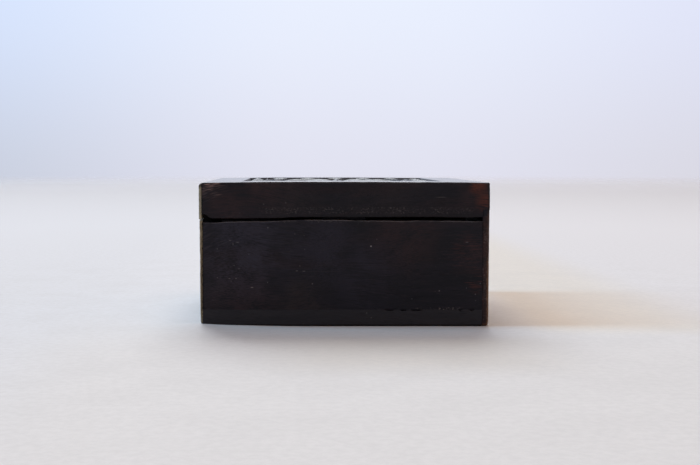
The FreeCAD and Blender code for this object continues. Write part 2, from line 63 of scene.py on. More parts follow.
(STRIP_SEAM, _, LID_UNDER), (HALF, _, TOP) = box_mm("lid_board")
(LIP_LEFT, _, _), (LIP_RIGHT, _, FLOOR) = box_mm("base_board")
(_, SHOULDER, _), (INSIDE, INNER_FACE, _) = box_mm("inner_front_wall")
ROOM_BACK = box_mm("back_wall")[0][1]
PANEL_BACK, PANEL_TOP = box_mm("front_panel")[1][1:]


# Meshes of worn boards

EDGE_LINES = (0.0, 0.1, 0.2, 0.32, 0.46, 0.64, 0.9, 1.3, 1.9)
EDGE_WAVES = ((0.3, 14.0), (0.2, 3.5))
FACE_WAVE, UNEVEN_MM = 18.0, 0.03
LEAST_RADIUS, MOST_OF_SIDE = 0.02, 0.45
SHARP_FROM = math.radians(38)
MERGE_MM = 0.002


def linked(name, data):
    """A new object in the scene."""
    made = bpy.data.objects.new(name, data)
    bpy.context.scene.collection.objects.link(made)
    return made


def ripple(points, length, seed):
    """Smooth random values, about -1 to 1, over points in millimetres. They are the same each run."""
    draw = np.random.default_rng(seed)
    waves = 8
    ways = draw.normal(size=(waves, 3))
    ways /= np.linalg.norm(ways, axis=1, keepdims=True)
    turns = 2 * math.pi / (length * draw.uniform(0.6, 1.6, waves))
    phases = draw.uniform(0, 2 * math.pi, waves)
    return np.sin(points @ (ways * turns[:, None]).T + phases).sum(axis=1) / 4


def ease(values, start, end):
    """0 at start, 1 at end and a smooth step between."""
    t = np.clip((values - start) / (end - start), 0, 1)
    return t * t * (3 - 2 * t)


def cut_lines(low, high, spacing, extra=()):
    """Where to cut one side of a board: close together near both ends, evenly spaced between."""
    near = np.array([d for d in EDGE_LINES if d < (high - low) * 0.4])
    start, end = low + near[-1], high - near[-1]
    count = max(1, round((end - start) / spacing))
    middle = np.linspace(start, end, count + 1)[1:-1]
    for value in extra:
        middle = middle[abs(middle - value) > spacing * 0.4]
    return np.sort(np.concatenate([low + near, middle, high - near, np.array(extra, float)]))


def box_shell(xs, ys, zs, window=None):
    """Points and quads of a box cut along the given lines. window leaves out that much of its top."""
    index, points, faces = {}, [], []

    def corner(*key):
        if key not in index:
            index[key] = len(points)
            points.append((xs[key[0]], ys[key[1]], zs[key[2]]))
        return index[key]

    def quads(first, second, place):
        for i in range(first):
            for j in range(second):
                square = ((i, j), (i + 1, j), (i + 1, j + 1), (i, j + 1))
                faces.append([corner(*place(a, b)) for a, b in square])

    nx, ny, nz = len(xs) - 1, len(ys) - 1, len(zs) - 1
    for end in (0, nz):
        quads(nx, ny, lambda a, b: (a, b, end))
    for end in (0, ny):
        quads(nx, nz, lambda a, b: (a, end, b))
    for end in (0, nx):
        quads(ny, nz, lambda a, b: (end, a, b))
    points = np.array(points)
    if window:
        middles = np.array([points[f].mean(axis=0) for f in faces])
        gone = (middles[:, 2] > zs[-1] - MERGE_MM) & (abs(middles[:, :2]).max(axis=1) < window)
        faces = [f for f, out in zip(faces, gone) if not out]
    return points, faces


def round_off(points, low, high, radius):
    """A box shell's points moved onto rounded edges, and the outward directions there."""
    reach = radius[:, None]
    core = np.clip(points, low + reach, high - reach)
    out = points - core
    out /= np.maximum(np.linalg.norm(out, axis=1, keepdims=True), 1e-9)
    return core + out * reach, out


def merge_points(mesh):
    """Joins points that lie on each other, and turns every face outwards."""
    work = bmesh.new()
    work.from_mesh(mesh)
    bmesh.ops.remove_doubles(work, verts=work.verts, dist=MERGE_MM * MM)
    bmesh.ops.recalc_face_normals(work, faces=work.faces)
    work.to_mesh(mesh)
    work.free()


def mesh_object(name, points, faces, flat, layers):
    """An object from points in millimetres, with marks for flat faces and layers of stored values."""
    mesh = bpy.data.meshes.new(name)
    mesh.from_pydata([tuple(p) for p in np.asarray(points) * MM], [], [list(f) for f in faces])
    for layer, values in layers.items():
        stored = mesh.attributes.new(layer, "FLOAT", "POINT")
        stored.data.foreach_set("value", values.astype(np.float32))
    mesh.polygons.foreach_set("use_smooth", ~flat)
    merge_points(mesh)
    mesh.set_sharp_from_angle(angle=SHARP_FROM)
    return linked(name, mesh)


FAR = 50.0
SIDES = {"left": (0, 0), "right": (1, 0), "front": (0, 1), "back": (1, 1), "under": (0, 2), "top": (1, 2)}


def edge_gap(points, low, high, covered):
    """Each point's distance from the nearest open edge. Edges of the covered sides don't count."""
    limits = [low.copy(), high.copy()]
    for side in covered:
        end, axis = SIDES[side]
        limits[end][axis] += FAR if end else -FAR
    return np.sort(np.minimum(points - limits[0], limits[1] - points), axis=1)[:, 1]


def worn_block(low, high, radius, seed, shape=None, spacing=2.5, field=None, covered=()):
    """Points, faces, flat marks and stored values of a block with uneven, rubbed edges.

    radius gives the edge rounding for points, shape moves the finished points, field carves the top,
    covered names the sides that lie against other boards, whose edges aren't rubbed.
    """
    limits = (-field.half, field.half) if field else ()
    xs = cut_lines(low[0], high[0], spacing, limits)
    ys = cut_lines(low[1], high[1], spacing, limits)
    zs = cut_lines(low[2], high[2], spacing)
    points, faces = box_shell(xs, ys, zs, field.half if field else None)
    drops, flat = np.zeros(len(points)), np.zeros(len(faces), bool)
    if field:
        spots, depths, cuts = field.carve(xs, ys)
        start = len(points)
        points = np.vstack([points, np.column_stack([spots, np.full(len(spots), high[2])])])
        faces = faces + [[start + i for i in f] for f in cuts]
        drops = np.concatenate([drops, depths])
        flat = np.concatenate([flat, np.ones(len(cuts), bool)])
    layers = {"edge": edge_gap(points, low, high, covered), "cut": drops}
    waves = [share * ripple(points, length, seed + i) for i, (share, length) in enumerate(EDGE_WAVES)]
    reach = np.clip(radius(points) * (1 + sum(waves)), LEAST_RADIUS, (high - low).min() * MOST_OF_SIDE)
    shaped, out = round_off(points, low, high, reach)
    hollow = 1 + np.clip(ripple(points, FACE_WAVE, seed + len(waves)), -1, 1)
    shaped -= out * (UNEVEN_MM / 2 * hollow)[:, None]
    if shape:
        shaped = shape(shaped, low, high)
    shaped[:, 2] -= drops
    return shaped, faces, flat, layers


def worn_board(node, radius, seed, trim=((0, 0, 0), (0, 0, 0)), ending="_worn", **options):
    """A worn block in a CAD node's place. trim moves its lowest and its highest corner inwards."""
    low, high = box_mm(node)
    low, high = low + np.array(trim[0]), high - np.array(trim[1])
    return mesh_object(node + ending, *worn_block(low, high, radius, seed, **options))


def trimmed_wall(node, skin):
    """A CAD node's own shape, with its grooves and rebates, cut to the worn outer skin of the box."""
    name = node + "_worn"
    mesh = NODES[node].data.copy()
    mesh.materials.clear()
    merge_points(mesh)
    wall = linked(name, mesh)
    cut = wall.modifiers.new("skin", "BOOLEAN")
    cut.operation, cut.solver, cut.object = "INTERSECT", "EXACT", skin
    worn = bpy.data.meshes.new_from_object(wall.evaluated_get(bpy.context.evaluated_depsgraph_get()))
    wall.modifiers.remove(cut)
    wall.data = worn
    worn.name = name
    worn.materials.clear()
    worn.polygons.foreach_set("use_smooth", np.ones(len(worn.polygons), bool))
    worn.set_sharp_from_angle(angle=SHARP_FROM)
    return wall


# Relief carving on the lid


def polar(radius, degrees):
    """A point at a distance and an angle from the middle."""
    return radius * math.cos(math.radians(degrees)), radius * math.sin(math.radians(degrees))


LEAF_PARTS = 14
LEAF_ROWS = np.array([-1.0, -0.5, 0.0, 0.5, 1.0])[:, None]


def leaf(middle, length, width, degrees, height, veins):
    """A raised leaf with a crest: its outline, then points, heights and facets.

    veins is how far the gouge cuts on its two slopes go up and down.
    """
    t = np.linspace(0, 1, LEAF_PARTS + 1)[1:-1]
    n = len(t)
    along = np.array(polar(1.0, degrees))
    side = np.array([-along[1], along[0]])
    start, end = middle - along * length / 2, middle + along * length / 2
    swell = 4 * t * (1 - t)
    spread = (LEAF_ROWS * swell * width / 2)[..., None] * side
    points = np.vstack([start, end, *(start + (end - start) * t[:, None] + spread)])
    wave = veins * swell * np.where(np.arange(n) % 2, 1, -1)
    rises = height * swell * (1 - abs(LEAF_ROWS)) + wave * (abs(LEAF_ROWS) == 0.5)
    heights = np.concatenate([[0.0, 0.0], rises.ravel()])
    lines = [[0, *range(2 + row * n, 2 + (row + 1) * n), 1] for row in range(len(LEAF_ROWS))]
    facets = []
    for one, other in zip(lines, lines[1:]):
        for i in range(n + 1):
            facets.append(tuple(dict.fromkeys((one[i], one[i + 1], other[i + 1], other[i]))))
    outline = points[lines[0] + lines[-1][-2:0:-1]]
    return outline, points, heights, facets


def turned(x, y, quarter):
    """A point turned about the lid's middle by quarter turns."""
    c, s = (1, 0, -1, 0)[quarter], (0, 1, 0, -1)[quarter]
    return c * x - s * y, s * x + c * y


def inside(points, outline):
    """Which points lie in a closed outline."""
    x, y = points[:, :1], points[:, 1:]
    x1, y1 = outline[:, 0], outline[:, 1]
    x2, y2 = np.roll(x1, -1), np.roll(y1, -1)
    rise = np.where(y2 == y1, 1e-12, y2 - y1)
    crosses = ((y1 > y) != (y2 > y)) & (x < (x2 - x1) * (y - y1) / rise + x1)
    return crosses.sum(axis=1) % 2 == 1


class CarvedField:
    """The lid's sunken field: a rosette in a ring, a square ridge and a border of leaves, as in the solid."""

    half = 28.5
    wall = 0.25
    ground = 0.85
    leaf_height, leaf_gap = 0.8, 0.5
    border_count, border_width = 5, 4.4
    ridge_width, ridge_top, ridge_height = 1.1, 0.2, 0.6
    ring_gap, ring_parts = 0.6, 120
    petals, petal_width, hub_gap = 6, 6.0, 1.4
    bud_length, bud_width = 10.5, 3.4
    slant_width, border_slant = 3.0, 6.2
    ring_slant, ring_slant_inset = 7.4, 3.4
    fan_length, fan_width, fan_spread = 5.6, 1.3, 3.1
    fan_height, fan_turn = 0.45, 24
    veins, petal_veins = 0.05, 0.08
    unsteady, unsteady_turn = 0.05, 15

    def __init__(self, seed):
        self.draw = np.random.default_rng(seed)
        self.border = self.border_width + 2 * self.leaf_gap
        self.ridged = self.border + self.ridge_width
        self.ring = self.half - self.ridged - self.ring_gap
        self.petal_tip = self.ring - self.ridge_width - self.leaf_gap

    def cut_leaf(self, middle, length, width, degrees, height=leaf_height, veins=0.0):
        """A leaf whose size and place vary a little, as by hand, and which stays under the lid's top."""
        size, wide, high, shift, turn = self.draw.uniform(-1, 1, 5) * self.unsteady
        middle = np.array(middle) + shift
        rise = min(self.ground, height * (1 + high))
        long, wide = length * (1 + size * 0.5), width * (1 + wide)
        return leaf(middle, long, wide, degrees + self.unsteady_turn * turn, rise, veins)

    def raised(self):
        """Every single leaf of the ornament."""
        row = self.half - self.border / 2
        pitch = 2 * (self.half - self.border) / self.border_count
        length = pitch - self.leaf_gap
        slant = self.half - self.ridged - self.ring_slant_inset
        for quarter in range(4):
            for i in range(self.border_count):
                middle = turned(pitch * (i - (self.border_count - 1) / 2), row, quarter)
                yield self.cut_leaf(middle, length, self.border_width, 90 * quarter, veins=self.veins)
            angle = 45 + 90 * quarter
            yield self.cut_leaf(turned(row, row, quarter), self.border_slant, self.slant_width, angle)
            middle = turned(slant, slant, quarter)
            yield self.cut_leaf(middle, self.ring_slant, self.slant_width, angle, veins=self.veins)
            for way in (-1, 1):
                middle = turned(slant - way * self.fan_spread, slant + way * self.fan_spread, quarter)
                lean = angle + self.fan_turn * way
                yield self.cut_leaf(middle, self.fan_length, self.fan_width, lean, self.fan_height)
        petal_length = self.petal_tip - self.hub_gap
        for i in range(self.petals):
            angle = 360 * i / self.petals
            middle = polar((self.petal_tip + self.hub_gap) / 2, angle)
            yield self.cut_leaf(middle, petal_length, self.petal_width, angle, veins=self.petal_veins)
            angle += 180 / self.petals
            middle = polar(self.petal_tip - self.bud_length / 2, angle)
            yield self.cut_leaf(middle, self.bud_length, self.bud_width, angle, veins=self.veins)

    def ridges(self):
        """The square ridge and the ring, each as lines from its outer to its inner foot."""
        flank = (self.ridge_width - self.ridge_top) / 2
        insets = (0.0, flank, flank + self.ridge_top, self.ridge_width)
        square = np.array([(-1, -1), (1, -1), (1, 1), (-1, 1)], float)
        circle = np.array([polar(1, 360 * i / self.ring_parts) for i in range(self.ring_parts)])
        feet = ((square, self.half - self.border), (circle, self.ring))
        return [[line * (reach - inset) for inset in insets] for line, reach in feet]

    def rim(self, xs, ys):
        """The field's outer line, with a point wherever the board is cut."""
        h = self.half
        x = xs[(xs > -h - MERGE_MM) & (xs < h + MERGE_MM)]
        y = ys[(ys > -h - MERGE_MM) & (ys < h + MERGE_MM)]
        line = [(v, -h) for v in x[:-1]] + [(h, v) for v in y[:-1]]
        return np.array(line + [(v, h) for v in x[:0:-1]] + [(-h, v) for v in y[:0:-1]])

    def carve(self, xs, ys):
        """Points, depths and faces that fill the field."""
        raised, ridges = list(self.raised()), self.ridges()
        rim = self.rim(xs, ys)
        outlines = [rim * (1 - self.wall / self.half)] + [r[0] for r in raised]
        for lines in ridges:
            outlines += [lines[0], lines[-1]]
        spots, edges = [], []
        for outline in outlines:
            start, n = len(spots), len(outline)
            spots += [Vector(p) for p in outline]
            edges += [(start + i, start + (i + 1) % n) for i in range(n)]
        found, _, triangles, *_ = delaunay_2d_cdt(spots, edges, [], 0, 1e-6)
        points = np.array([tuple(p) for p in found])
        middles = np.array([points[list(t)].mean(axis=0) for t in triangles])
        covered = np.zeros(len(triangles), bool)
        for outline, *_ in raised:
            covered |= inside(middles, outline)
        for lines in ridges:
            covered |= inside(middles, lines[0]) & ~inside(middles, lines[-1])
        ground = [tuple(t) for t, gone in zip(triangles, covered) if not gone]
        pieces = [(points, np.zeros(len(points)), ground)] + [r[1:] for r in raised]
        rises = (0.0, self.ridge_height, self.ridge_height, 0.0)
        walls = [(lines, rises) for lines in ridges] + [([rim, outlines[0]], (self.ground, 0.0))]
        for lines, rises in walls:
            n = len(lines[0])
            pieces.append((np.vstack(lines), np.repeat(rises, n), self.bands(n, len(lines))))
        faces, start = [], 0
        for more, _, facets in pieces:
            faces += [tuple(start + i for i in f) for f in facets]
            start += len(more)
        heights = np.concatenate([rise for _, rise, _ in pieces])
        return np.vstack([more for more, *_ in pieces]), self.ground - heights, faces

    def bands(self, n, lines):
        """Quads between closed lines of n points each."""
        steps = [(first, i, (i + 1) % n) for first in range(0, (lines - 1) * n, n) for i in range(n)]
        return [(first + i, first + j, first + n + j, first + n + i) for first, i, j in steps]


# Node materials


class Graph:
    """A node tree built with short calls. Each call gives back an output socket."""

    def __init__(self, tree):
        self.tree = tree

    def node(self, kind, inputs=None, output=0, **settings):
        made = self.tree.nodes.new("ShaderNode" + kind)
        for key, value in settings.items():
            setattr(made, key, value)
        for key, value in (inputs or {}).items():
            self.put(made.inputs[key], value)
        return made.outputs[output]

    def put(self, socket, value):
        """Links a socket to an output, or sets its value. Colours are red, green and blue."""
        if isinstance(value, bpy.types.NodeSocket):
            self.tree.links.new(value, socket)
        else:
            socket.default_value = (*value, 1.0) if socket.type == "RGBA" else value

    def math(self, operation, a, b=0.0):
        return self.node("Math", {0: a, 1: b}, operation=operation)

    def times(self, a, b):
        return self.math("MULTIPLY", a, b)

    def plus(self, a, b):
        return self.math("ADD", a, b)

    def larger(self, a, b):
        return self.math("MAXIMUM", a, b)

    def vector(self, operation, a, b):
        key = "Scale" if operation == "SCALE" else 1
        return self.node("VectorMath", {0: a, key: b}, operation=operation)

    def distance(self, a, point):
        return self.node("VectorMath", {0: a, 1: point}, output="Value", operation="DISTANCE")

    def step(self, value, start, end, low=0.0, high=1.0):
        """A smooth step from low at start to high at end."""
        limits = {"Value": value, "From Min": start, "From Max": end, "To Min": low, "To Max": high}
        return self.node("MapRange", limits, interpolation_type="SMOOTHSTEP")

    def mix(self, factor, a, b):
        return self.node("Mix", {0: factor, 6: a, 7: b}, output=2, data_type="RGBA")

    def noise(self, place, scale, detail=2.0, rough=0.5, bend=0.0, output=0):
        inputs = {"Vector": place, "Scale": scale, "Detail": detail, "Roughness": rough, "Distortion": bend}
        return self.node("TexNoise", inputs, output=output)

    def cells(self, place, scale):
        return self.node("TexVoronoi", {"Vector": place, "Scale": scale}, output="Distance")

    def bump(self, strength, depth, height):
        return self.node("Bump", {"Strength": strength, "Distance": depth * MM, "Height": height})

    def parts(self, vector):
        """The x, y and z of a vector."""
        return self.node("SeparateXYZ", {0: vector}).node.outputs

    def millimetres(self):
        """The place on the piece, in millimetres."""
        return self.vector("SCALE", self.node("TexCoord", output="Object"), 1 / MM)

    def sway(self, place, scale, detail, reach):
        """The place moved about by smooth noise, by up to half of reach each way."""
        shift = self.vector("SUBTRACT", self.noise(place, scale, detail, output="Color"), (0.5, 0.5, 0.5))
        return self.vector("ADD", place, self.vector("SCALE", shift, reach))

    def band(self, value, rise, fall):
        """A mask that rises over one pair of values and falls over another."""
        return self.times(self.step(value, *rise), self.step(value, *fall))


def new_material(name):
    """A material with an empty tree: the material, its graph and its Principled shader."""
    material = bpy.data.materials.new(name)
    material.use_nodes = True
    tree = material.node_tree
    tree.nodes.clear()
    shader = tree.nodes.new("ShaderNodeBsdfPrincipled")
    output = tree.nodes.new("ShaderNodeOutputMaterial")
    tree.links.new(shader.outputs["BSDF"], output.inputs["Surface"])
    return material, Graph(tree), shader


def fill(graph, shader, **sockets):
    """Sets or links the shader's own sockets."""
    for key, value in sockets.items():
        graph.put(shader.inputs[key.replace("_", " ")], value)


def in_box(g, place, low, high, soft=0.25):
    """A mask, 1 inside a box in millimetres, that fades over soft: one length, or one for each axis."""
    mask = 1.0
    for value, least, most, fade in zip(g.parts(place), low, high, np.broadcast_to(soft, 3)):
        mask = g.times(mask, g.band(value, (least - fade, least), (most + fade, most)))
    return mask


def outer_edges(g, place, width=1.1):
    """A mask that is 1 along the whole box's outer edges."""
    x, y, z = g.parts(place)
    near_x = g.step(g.math("ABSOLUTE", x), HALF - width, HALF)
    near_y = g.step(g.math("ABSOLUTE", y), HALF - width, HALF)
    near_z = g.larger(g.step(z, TOP - width, TOP), g.step(z, width, 0.0))
    pairs = [g.times(near_x, near_y), g.times(near_x, near_z), g.times(near_y, near_z)]
    return g.larger(g.larger(pairs[0], pairs[1]), pairs[2])


BLACK_WOOD = dict(
    dark=(0.0042, 0.0034, 0.0056),
    light=(0.0102, 0.0083, 0.0132),
    streak=(0.0235, 0.0162, 0.0202),
    streaks=0.65,
    pore=(0.002, 0.0018, 0.0025),
    tint=(0.0185, 0.0098, 0.0122),
    worn=(0.07, 0.062, 0.066),
    wear=0.75,
    wear_width=0.7,
    rough=(0.4, 0.56),
    specular=0.17,
    specks=0.35,
    bump=0.35,
)
RAW_WOOD = dict(
    dark=(0.115, 0.05, 0.024),
    light=(0.25, 0.128, 0.064),
    streak=(0.165, 0.07, 0.032),
    streaks=0.6,
    pore=(0.045, 0.02, 0.011),
    tint=(0.19, 0.075, 0.034),
    worn=(0.31, 0.18, 0.1),
    wear=0.5,
    wear_width=0.7,
    rough=(0.55, 0.72),
    specular=0.35,
    specks=0.0,
    bump=0.4,
)
# Painted highlight: pale olive stands for the cool light from the left caught on the box's left edges
OLIVE_HIGHLIGHT_WOOD = dict(
    BLACK_WOOD,
    dark=(0.1, 0.082, 0.052),
    light=(0.3, 0.258, 0.165),
    streak=(0.07, 0.056, 0.036),
    pore=(0.035, 0.028, 0.019),
    tint=(0.17, 0.132, 0.08),
    worn=(0.44, 0.385, 0.285),
    wear=0.9,
    wear_width=0.5,
    specular=0.25,
    specks=0.0,
)
RED_END = dict(
    BLACK_WOOD,
    dark=(0.01, 0.006, 0.007),
    light=(0.038, 0.017, 0.0155),
    streak=(0.072, 0.026, 0.021),
    pore=(0.006, 0.004, 0.004),
    tint=(0.048, 0.018, 0.015),
)
PEG_WOOD = dict(
    RAW_WOOD,
    dark=(0.2, 0.105, 0.048),
    light=(0.36, 0.225, 0.115),
    streak=(0.26, 0.14, 0.066),
    pore=(0.1, 0.05, 0.026),
    tint=(0.3, 0.16, 0.07),
    worn=(0.42, 0.28, 0.16),
)


def toned(look, *factors):
    """A look whose stained colours are multiplied by factors for red, green and blue."""
    made = dict(look)
    for key in ("dark", "light", "streak", "pore", "tint"):
        made[key] = tuple(value * factor for value, factor in zip(look[key], factors))
    return made


# Painted highlight: the lid's left strip is coloured as if lit by the cool light from the left
STRIP_HIGHLIGHT_WOOD = dict(toned(OLIVE_HIGHLIGHT_WOOD, 1.2, 1.36, 1.45), worn=(0.53, 0.52, 0.43))
LID_WOOD = dict(toned(BLACK_WOOD, 0.9, 0.83, 0.8), specks=0.2)
BASE_WOOD = dict(
    BLACK_WOOD,
    dark=(0.0215, 0.0212, 0.0262),
    light=(0.029, 0.0282, 0.034),
    streak=(0.055, 0.048, 0.055),
    streaks=0.25,
    pore=(0.012, 0.011, 0.014),
    tint=(0.034, 0.029, 0.033),
)
POLISHED_TOP = dict(BLACK_WOOD, rough=(0.11, 0.17), specular=0.5, specks=0.0, bump=0.05)
CARVED_TOP = dict(BLACK_WOOD, rough=(0.42, 0.54), specular=0.5, worn=(0.15, 0.142, 0.146), bump=0.5)
PALE_SPECK = (0.26, 0.255, 0.275)
GLUE = (0.15, 0.136, 0.138)
HAIR = (0.052, 0.047, 0.055)
PINK_SCUFF = (0.27, 0.185, 0.18)
RED = (0.18, 0.046, 0.024)
DULL_RED = (0.08, 0.029, 0.027)
RUST = (0.035, 0.019, 0.021)
BROWN = (0.0295, 0.0215, 0.023)
HAZE = (0.0225, 0.0205, 0.033)
PALE_HAZE = (0.032, 0.0305, 0.0465)
# Painted highlight: orange stands for warm light caught on the right wall's front edge
ORANGE_RIM_HIGHLIGHT = (0.165, 0.096, 0.06)
# Near black: painted shade on the rebate shoulders behind the slit, along the base's foot and under the lid's
# front edge; also dark joint lines and marks
BLACK_MARK_AND_SHADE = (0.0008, 0.0008, 0.0008)
BRIGHT_STEEL, STEEL_FILM = (0.6, 0.59, 0.57), (0.36, 0.33, 0.29)
GRAIN_RELIEF, LATHE_RELIEF = 0.12, 0.03
ZONE_FADE = 0.12
SEAM_FADE = (4.0, 0.5, 0.5)
LINE_STRETCH, FIBRE_STRETCH = 0.055, 0.02


def stretched(g, place, grain, share):
    """The place with its steps along the grain made smaller, so that patterns grow long."""
    return g.vector("MULTIPLY", place, tuple(share if axis == grain else 1.0 for axis in "XYZ"))


def wood_layers(g, place, grain, look):
    """Colour, pores, fibres and rings of one kind of wood, with the grain along an axis."""
    bent = g.sway(place, scale=0.035, detail=1.0, reach=9.0)
    long, longer = stretched(g, bent, grain, LINE_STRETCH), stretched(g, bent, grain, FIBRE_STRETCH)
    rings = g.noise(long, 0.42, 3.0, rough=0.55, bend=0.5)
    lines = g.noise(long, 2.6, 4.0, rough=0.65)
    fibre = g.noise(longer, 5.5, 3.0, rough=0.6)
    pores = g.step(g.noise(long, 4.2, 1.0), 0.63, 0.72)
    hue = g.noise(long, 0.22, 2.0)
    colour = g.mix(g.step(rings, 0.34, 0.7), look["dark"], look["light"])
    colour = g.mix(g.times(g.step(hue, 0.48, 0.68), 0.6), colour, look["tint"])
    colour = g.mix(g.times(g.step(lines, 0.52, 0.7), look["streaks"]), colour, look["streak"])
    colour = g.mix(g.times(g.step(fibre, 0.54, 0.38), 0.6), colour, look["dark"])
    colour = g.mix(g.times(pores, 0.75), colour, look["pore"])
    return colour, pores, fibre, rings


def add_specks(g, place, colour, amount):
    """Pale specks of dust and chipped wax. They differ in brightness, and gather in loose groups."""
    cell = g.node("TexVoronoi", {"Vector": place, "Scale": 0.8}).node
    chance = g.node("SeparateColor", {0: cell.outputs["Color"]}).node
    crowd = g.step(g.noise(place, 0.12, 2.0), 0.46, 0.66, 0.03, 0.3)
    chosen = g.math("LESS_THAN", chance.outputs[0], crowd)
    dots = g.times(g.step(cell.outputs["Distance"], 0.22, 0.05), chosen)
    bright = g.step(chance.outputs[1], 0.0, 1.0, 0.08, 1.0)
    return g.mix(g.times(g.times(dots, bright), amount), colour, PALE_SPECK)


def add_glue_line(g, place, colour, region, amount):
    """A broken row of pale dots along a glued seam, inside a box."""
    dots = g.step(g.noise(g.vector("MULTIPLY", place, (0.7, 1.0, 1.0)), 2.3, 2.0, 0.6), 0.47, 0.74)
    gaps = g.step(g.noise(g.vector("MULTIPLY", place, (0.3, 0.1, 0.3)), 1.0, 1.0), 0.34, 0.62, 0.25, 1.0)
    mask = g.times(in_box(g, place, *region, SEAM_FADE), g.times(dots, gaps))
    return g.mix(g.times(mask, amount), colour, GLUE)


def add_scuffs(g, place, colour, centre, radius, tilt, tint, amount):
    """Fine hairlines, tilted in the front's plane, around a point."""
    way = {"Vector": place, "Axis": (0.0, 1.0, 0.0), "Angle": math.radians(tilt)}
    turned_place = g.node("VectorRotate", way)
    hairs = g.noise(g.vector("MULTIPLY", turned_place, (0.06, 1.0, 1.0)), 3.0, 2.0, 0.6)
    mask = g.times(g.step(hairs, 0.5, 0.74), g.step(g.distance(place, centre), radius, radius * 0.25))
    return g.mix(g.times(mask, amount), colour, tint)


def add_mark(g, place, colour, centre, size, tint, amount):
    """One soft dash or dot of the given size."""
    away = g.vector("MULTIPLY", g.vector("SUBTRACT", place, centre), tuple(2.0 / v for v in size))
    gap = g.distance(away, (0.0, 0.0, 0.0))
    return g.mix(g.times(g.step(gap, 1.0, 0.3), amount), colour, tint)


def wood(
    name, look, grain="X", edge="attribute", raw=None, glue=(), patches=(), zones=(), scuffs=(), dashes=()
):
    """Wood with grain, pores, wear and specks.

    edge says where wear comes from, and raw is a box inside which the wood is left unstained. The rest lists
    what is on the wood: glue lines (box, amount), patches (centre, radius, colour, amount), zones (box, look
    or colour), and scuffs and dashes as add_scuffs() and add_mark() take them.
    """
    material, g, shader = new_material(name)
    place = g.millimetres()
    colour, pores, fibre, rings = wood_layers(g, place, grain, look)
    blotch = g.noise(place, 0.16, 3.0, 0.6)
    streaky = g.plus(g.times(blotch, 0.6), g.times(fibre, 0.7))
    for centre, radius, tint, amount in patches:
        spread = g.step(g.distance(place, centre), radius, radius * 0.2)
        spread = g.times(spread, g.step(streaky, 0.5, 0.8))
        colour = g.mix(g.times(spread, amount), colour, tint)
    ragged = g.sway(place, scale=0.9, detail=3.0, reach=0.9)
    for region, other in zones:
        tint = other if isinstance(other, tuple) else wood_layers(g, place, grain, other)[0]
        colour = g.mix(in_box(g, ragged, *region, ZONE_FADE), colour, tint)
    for scuff in scuffs:
        colour = add_scuffs(g, place, colour, *scuff)
    rubbed = None
    if edge == "attribute":
        rubbed = g.step(g.node("Attribute", output="Fac", attribute_name="edge"), look["wear_width"], 0.0)
    elif edge == "box":
        rubbed = outer_edges(g, place)
    if rubbed is not None:
        patchy = g.step(g.plus(blotch, g.times(fibre, 0.45)), 0.52, 0.86)
        colour = g.mix(g.times(g.times(rubbed, patchy), look["wear"]), colour, look["worn"])
    for region, amount in glue:
        colour = add_glue_line(g, place, colour, region, amount)
    if look["specks"]:
        colour = add_specks(g, place, colour, look["specks"])
    for mark in dashes:
        colour = add_mark(g, place, colour, *mark)
    low, high = look["rough"]
    rough = g.plus(g.step(fibre, 0.3, 0.7, low, high), g.times(pores, 0.12))
    if raw:
        bare = in_box(g, place, *raw)
        colour = g.mix(bare, colour, wood_layers(g, place, grain, RAW_WOOD)[0])
        rough = g.plus(rough, g.times(bare, 0.15))
    relief = g.plus(g.times(fibre, 0.5), g.times(rings, 0.35))
    relief = g.math("SUBTRACT", relief, g.times(pores, 0.6))
    normal = g.bump(look["bump"], GRAIN_RELIEF, relief)
    fill(g, shader, Base_Color=colour, Roughness=rough, Normal=normal, Specular_IOR_Level=look["specular"])
    return material


def carved_wood(name, look):
    """The lid's carving: rubbed crests over a dull, punched ground."""
    material, g, shader = new_material(name)
    place = g.millimetres()
    colour, _, fibre, rings = wood_layers(g, place, "X", look)
    cut = g.node("Attribute", output="Fac", attribute_name="cut")
    ground = g.step(cut, CarvedField.ground - 0.3, CarvedField.ground - 0.05)
    crest = g.step(cut, 0.45, 0.1)
    colour = g.mix(g.times(crest, 0.6), colour, look["worn"])
    colour = g.mix(g.times(ground, 0.8), colour, look["pore"])
    low, high = look["rough"]
    rough = g.plus(g.step(fibre, 0.3, 0.7, low, high), g.times(ground, 0.15))
    punch = g.step(g.cells(place, 1.5), 0.1, 0.42)
    relief = g.plus(g.times(g.plus(fibre, rings), 0.06), g.times(g.times(punch, ground), 1.5))
    normal = g.bump(look["bump"], GRAIN_RELIEF, relief)
    fill(g, shader, Base_Color=colour, Roughness=rough, Normal=normal, Specular_IOR_Level=look["specular"])
    return material


def turned_steel(name):
    """Bright steel with fine lathe rings along X and a dull film in patches."""
    material, g, shader = new_material(name)
    place = g.millimetres()
    rings = g.noise(g.vector("MULTIPLY", place, (1.0, 0.02, 0.02)), 7.0, 3.0, 0.7)
    film = g.noise(place, 0.9, 4.0, 0.6)
    colour = g.mix(g.step(film, 0.42, 0.68), BRIGHT_STEEL, STEEL_FILM)
    rough = g.plus(g.step(film, 0.35, 0.7, 0.2, 0.42), g.times(rings, 0.08))
    normal = g.bump(0.3, LATHE_RELIEF, rings)
    fill(g, shader, Base_Color=colour, Roughness=rough, Normal=normal, Metallic=1.0)
    return material


# The boards that show

ALONG = np.array([1.0, 0.0, 0.0])
TIGHT = 0.03
SEAM = 0.02
SKIN_INSET = 0.02
FOOT_WEAR = (3.0, 0.5)
BASE_WEAR = (2.5, 0.5)
PANEL_WEAR = (26.0, 28.0)
CLEAT_WEAR = (31.4, 30.4)
LID_WEAR = (37.0, 39.5)
CORNER_WEAR = (-HALF + 3.0, -HALF + 0.5)
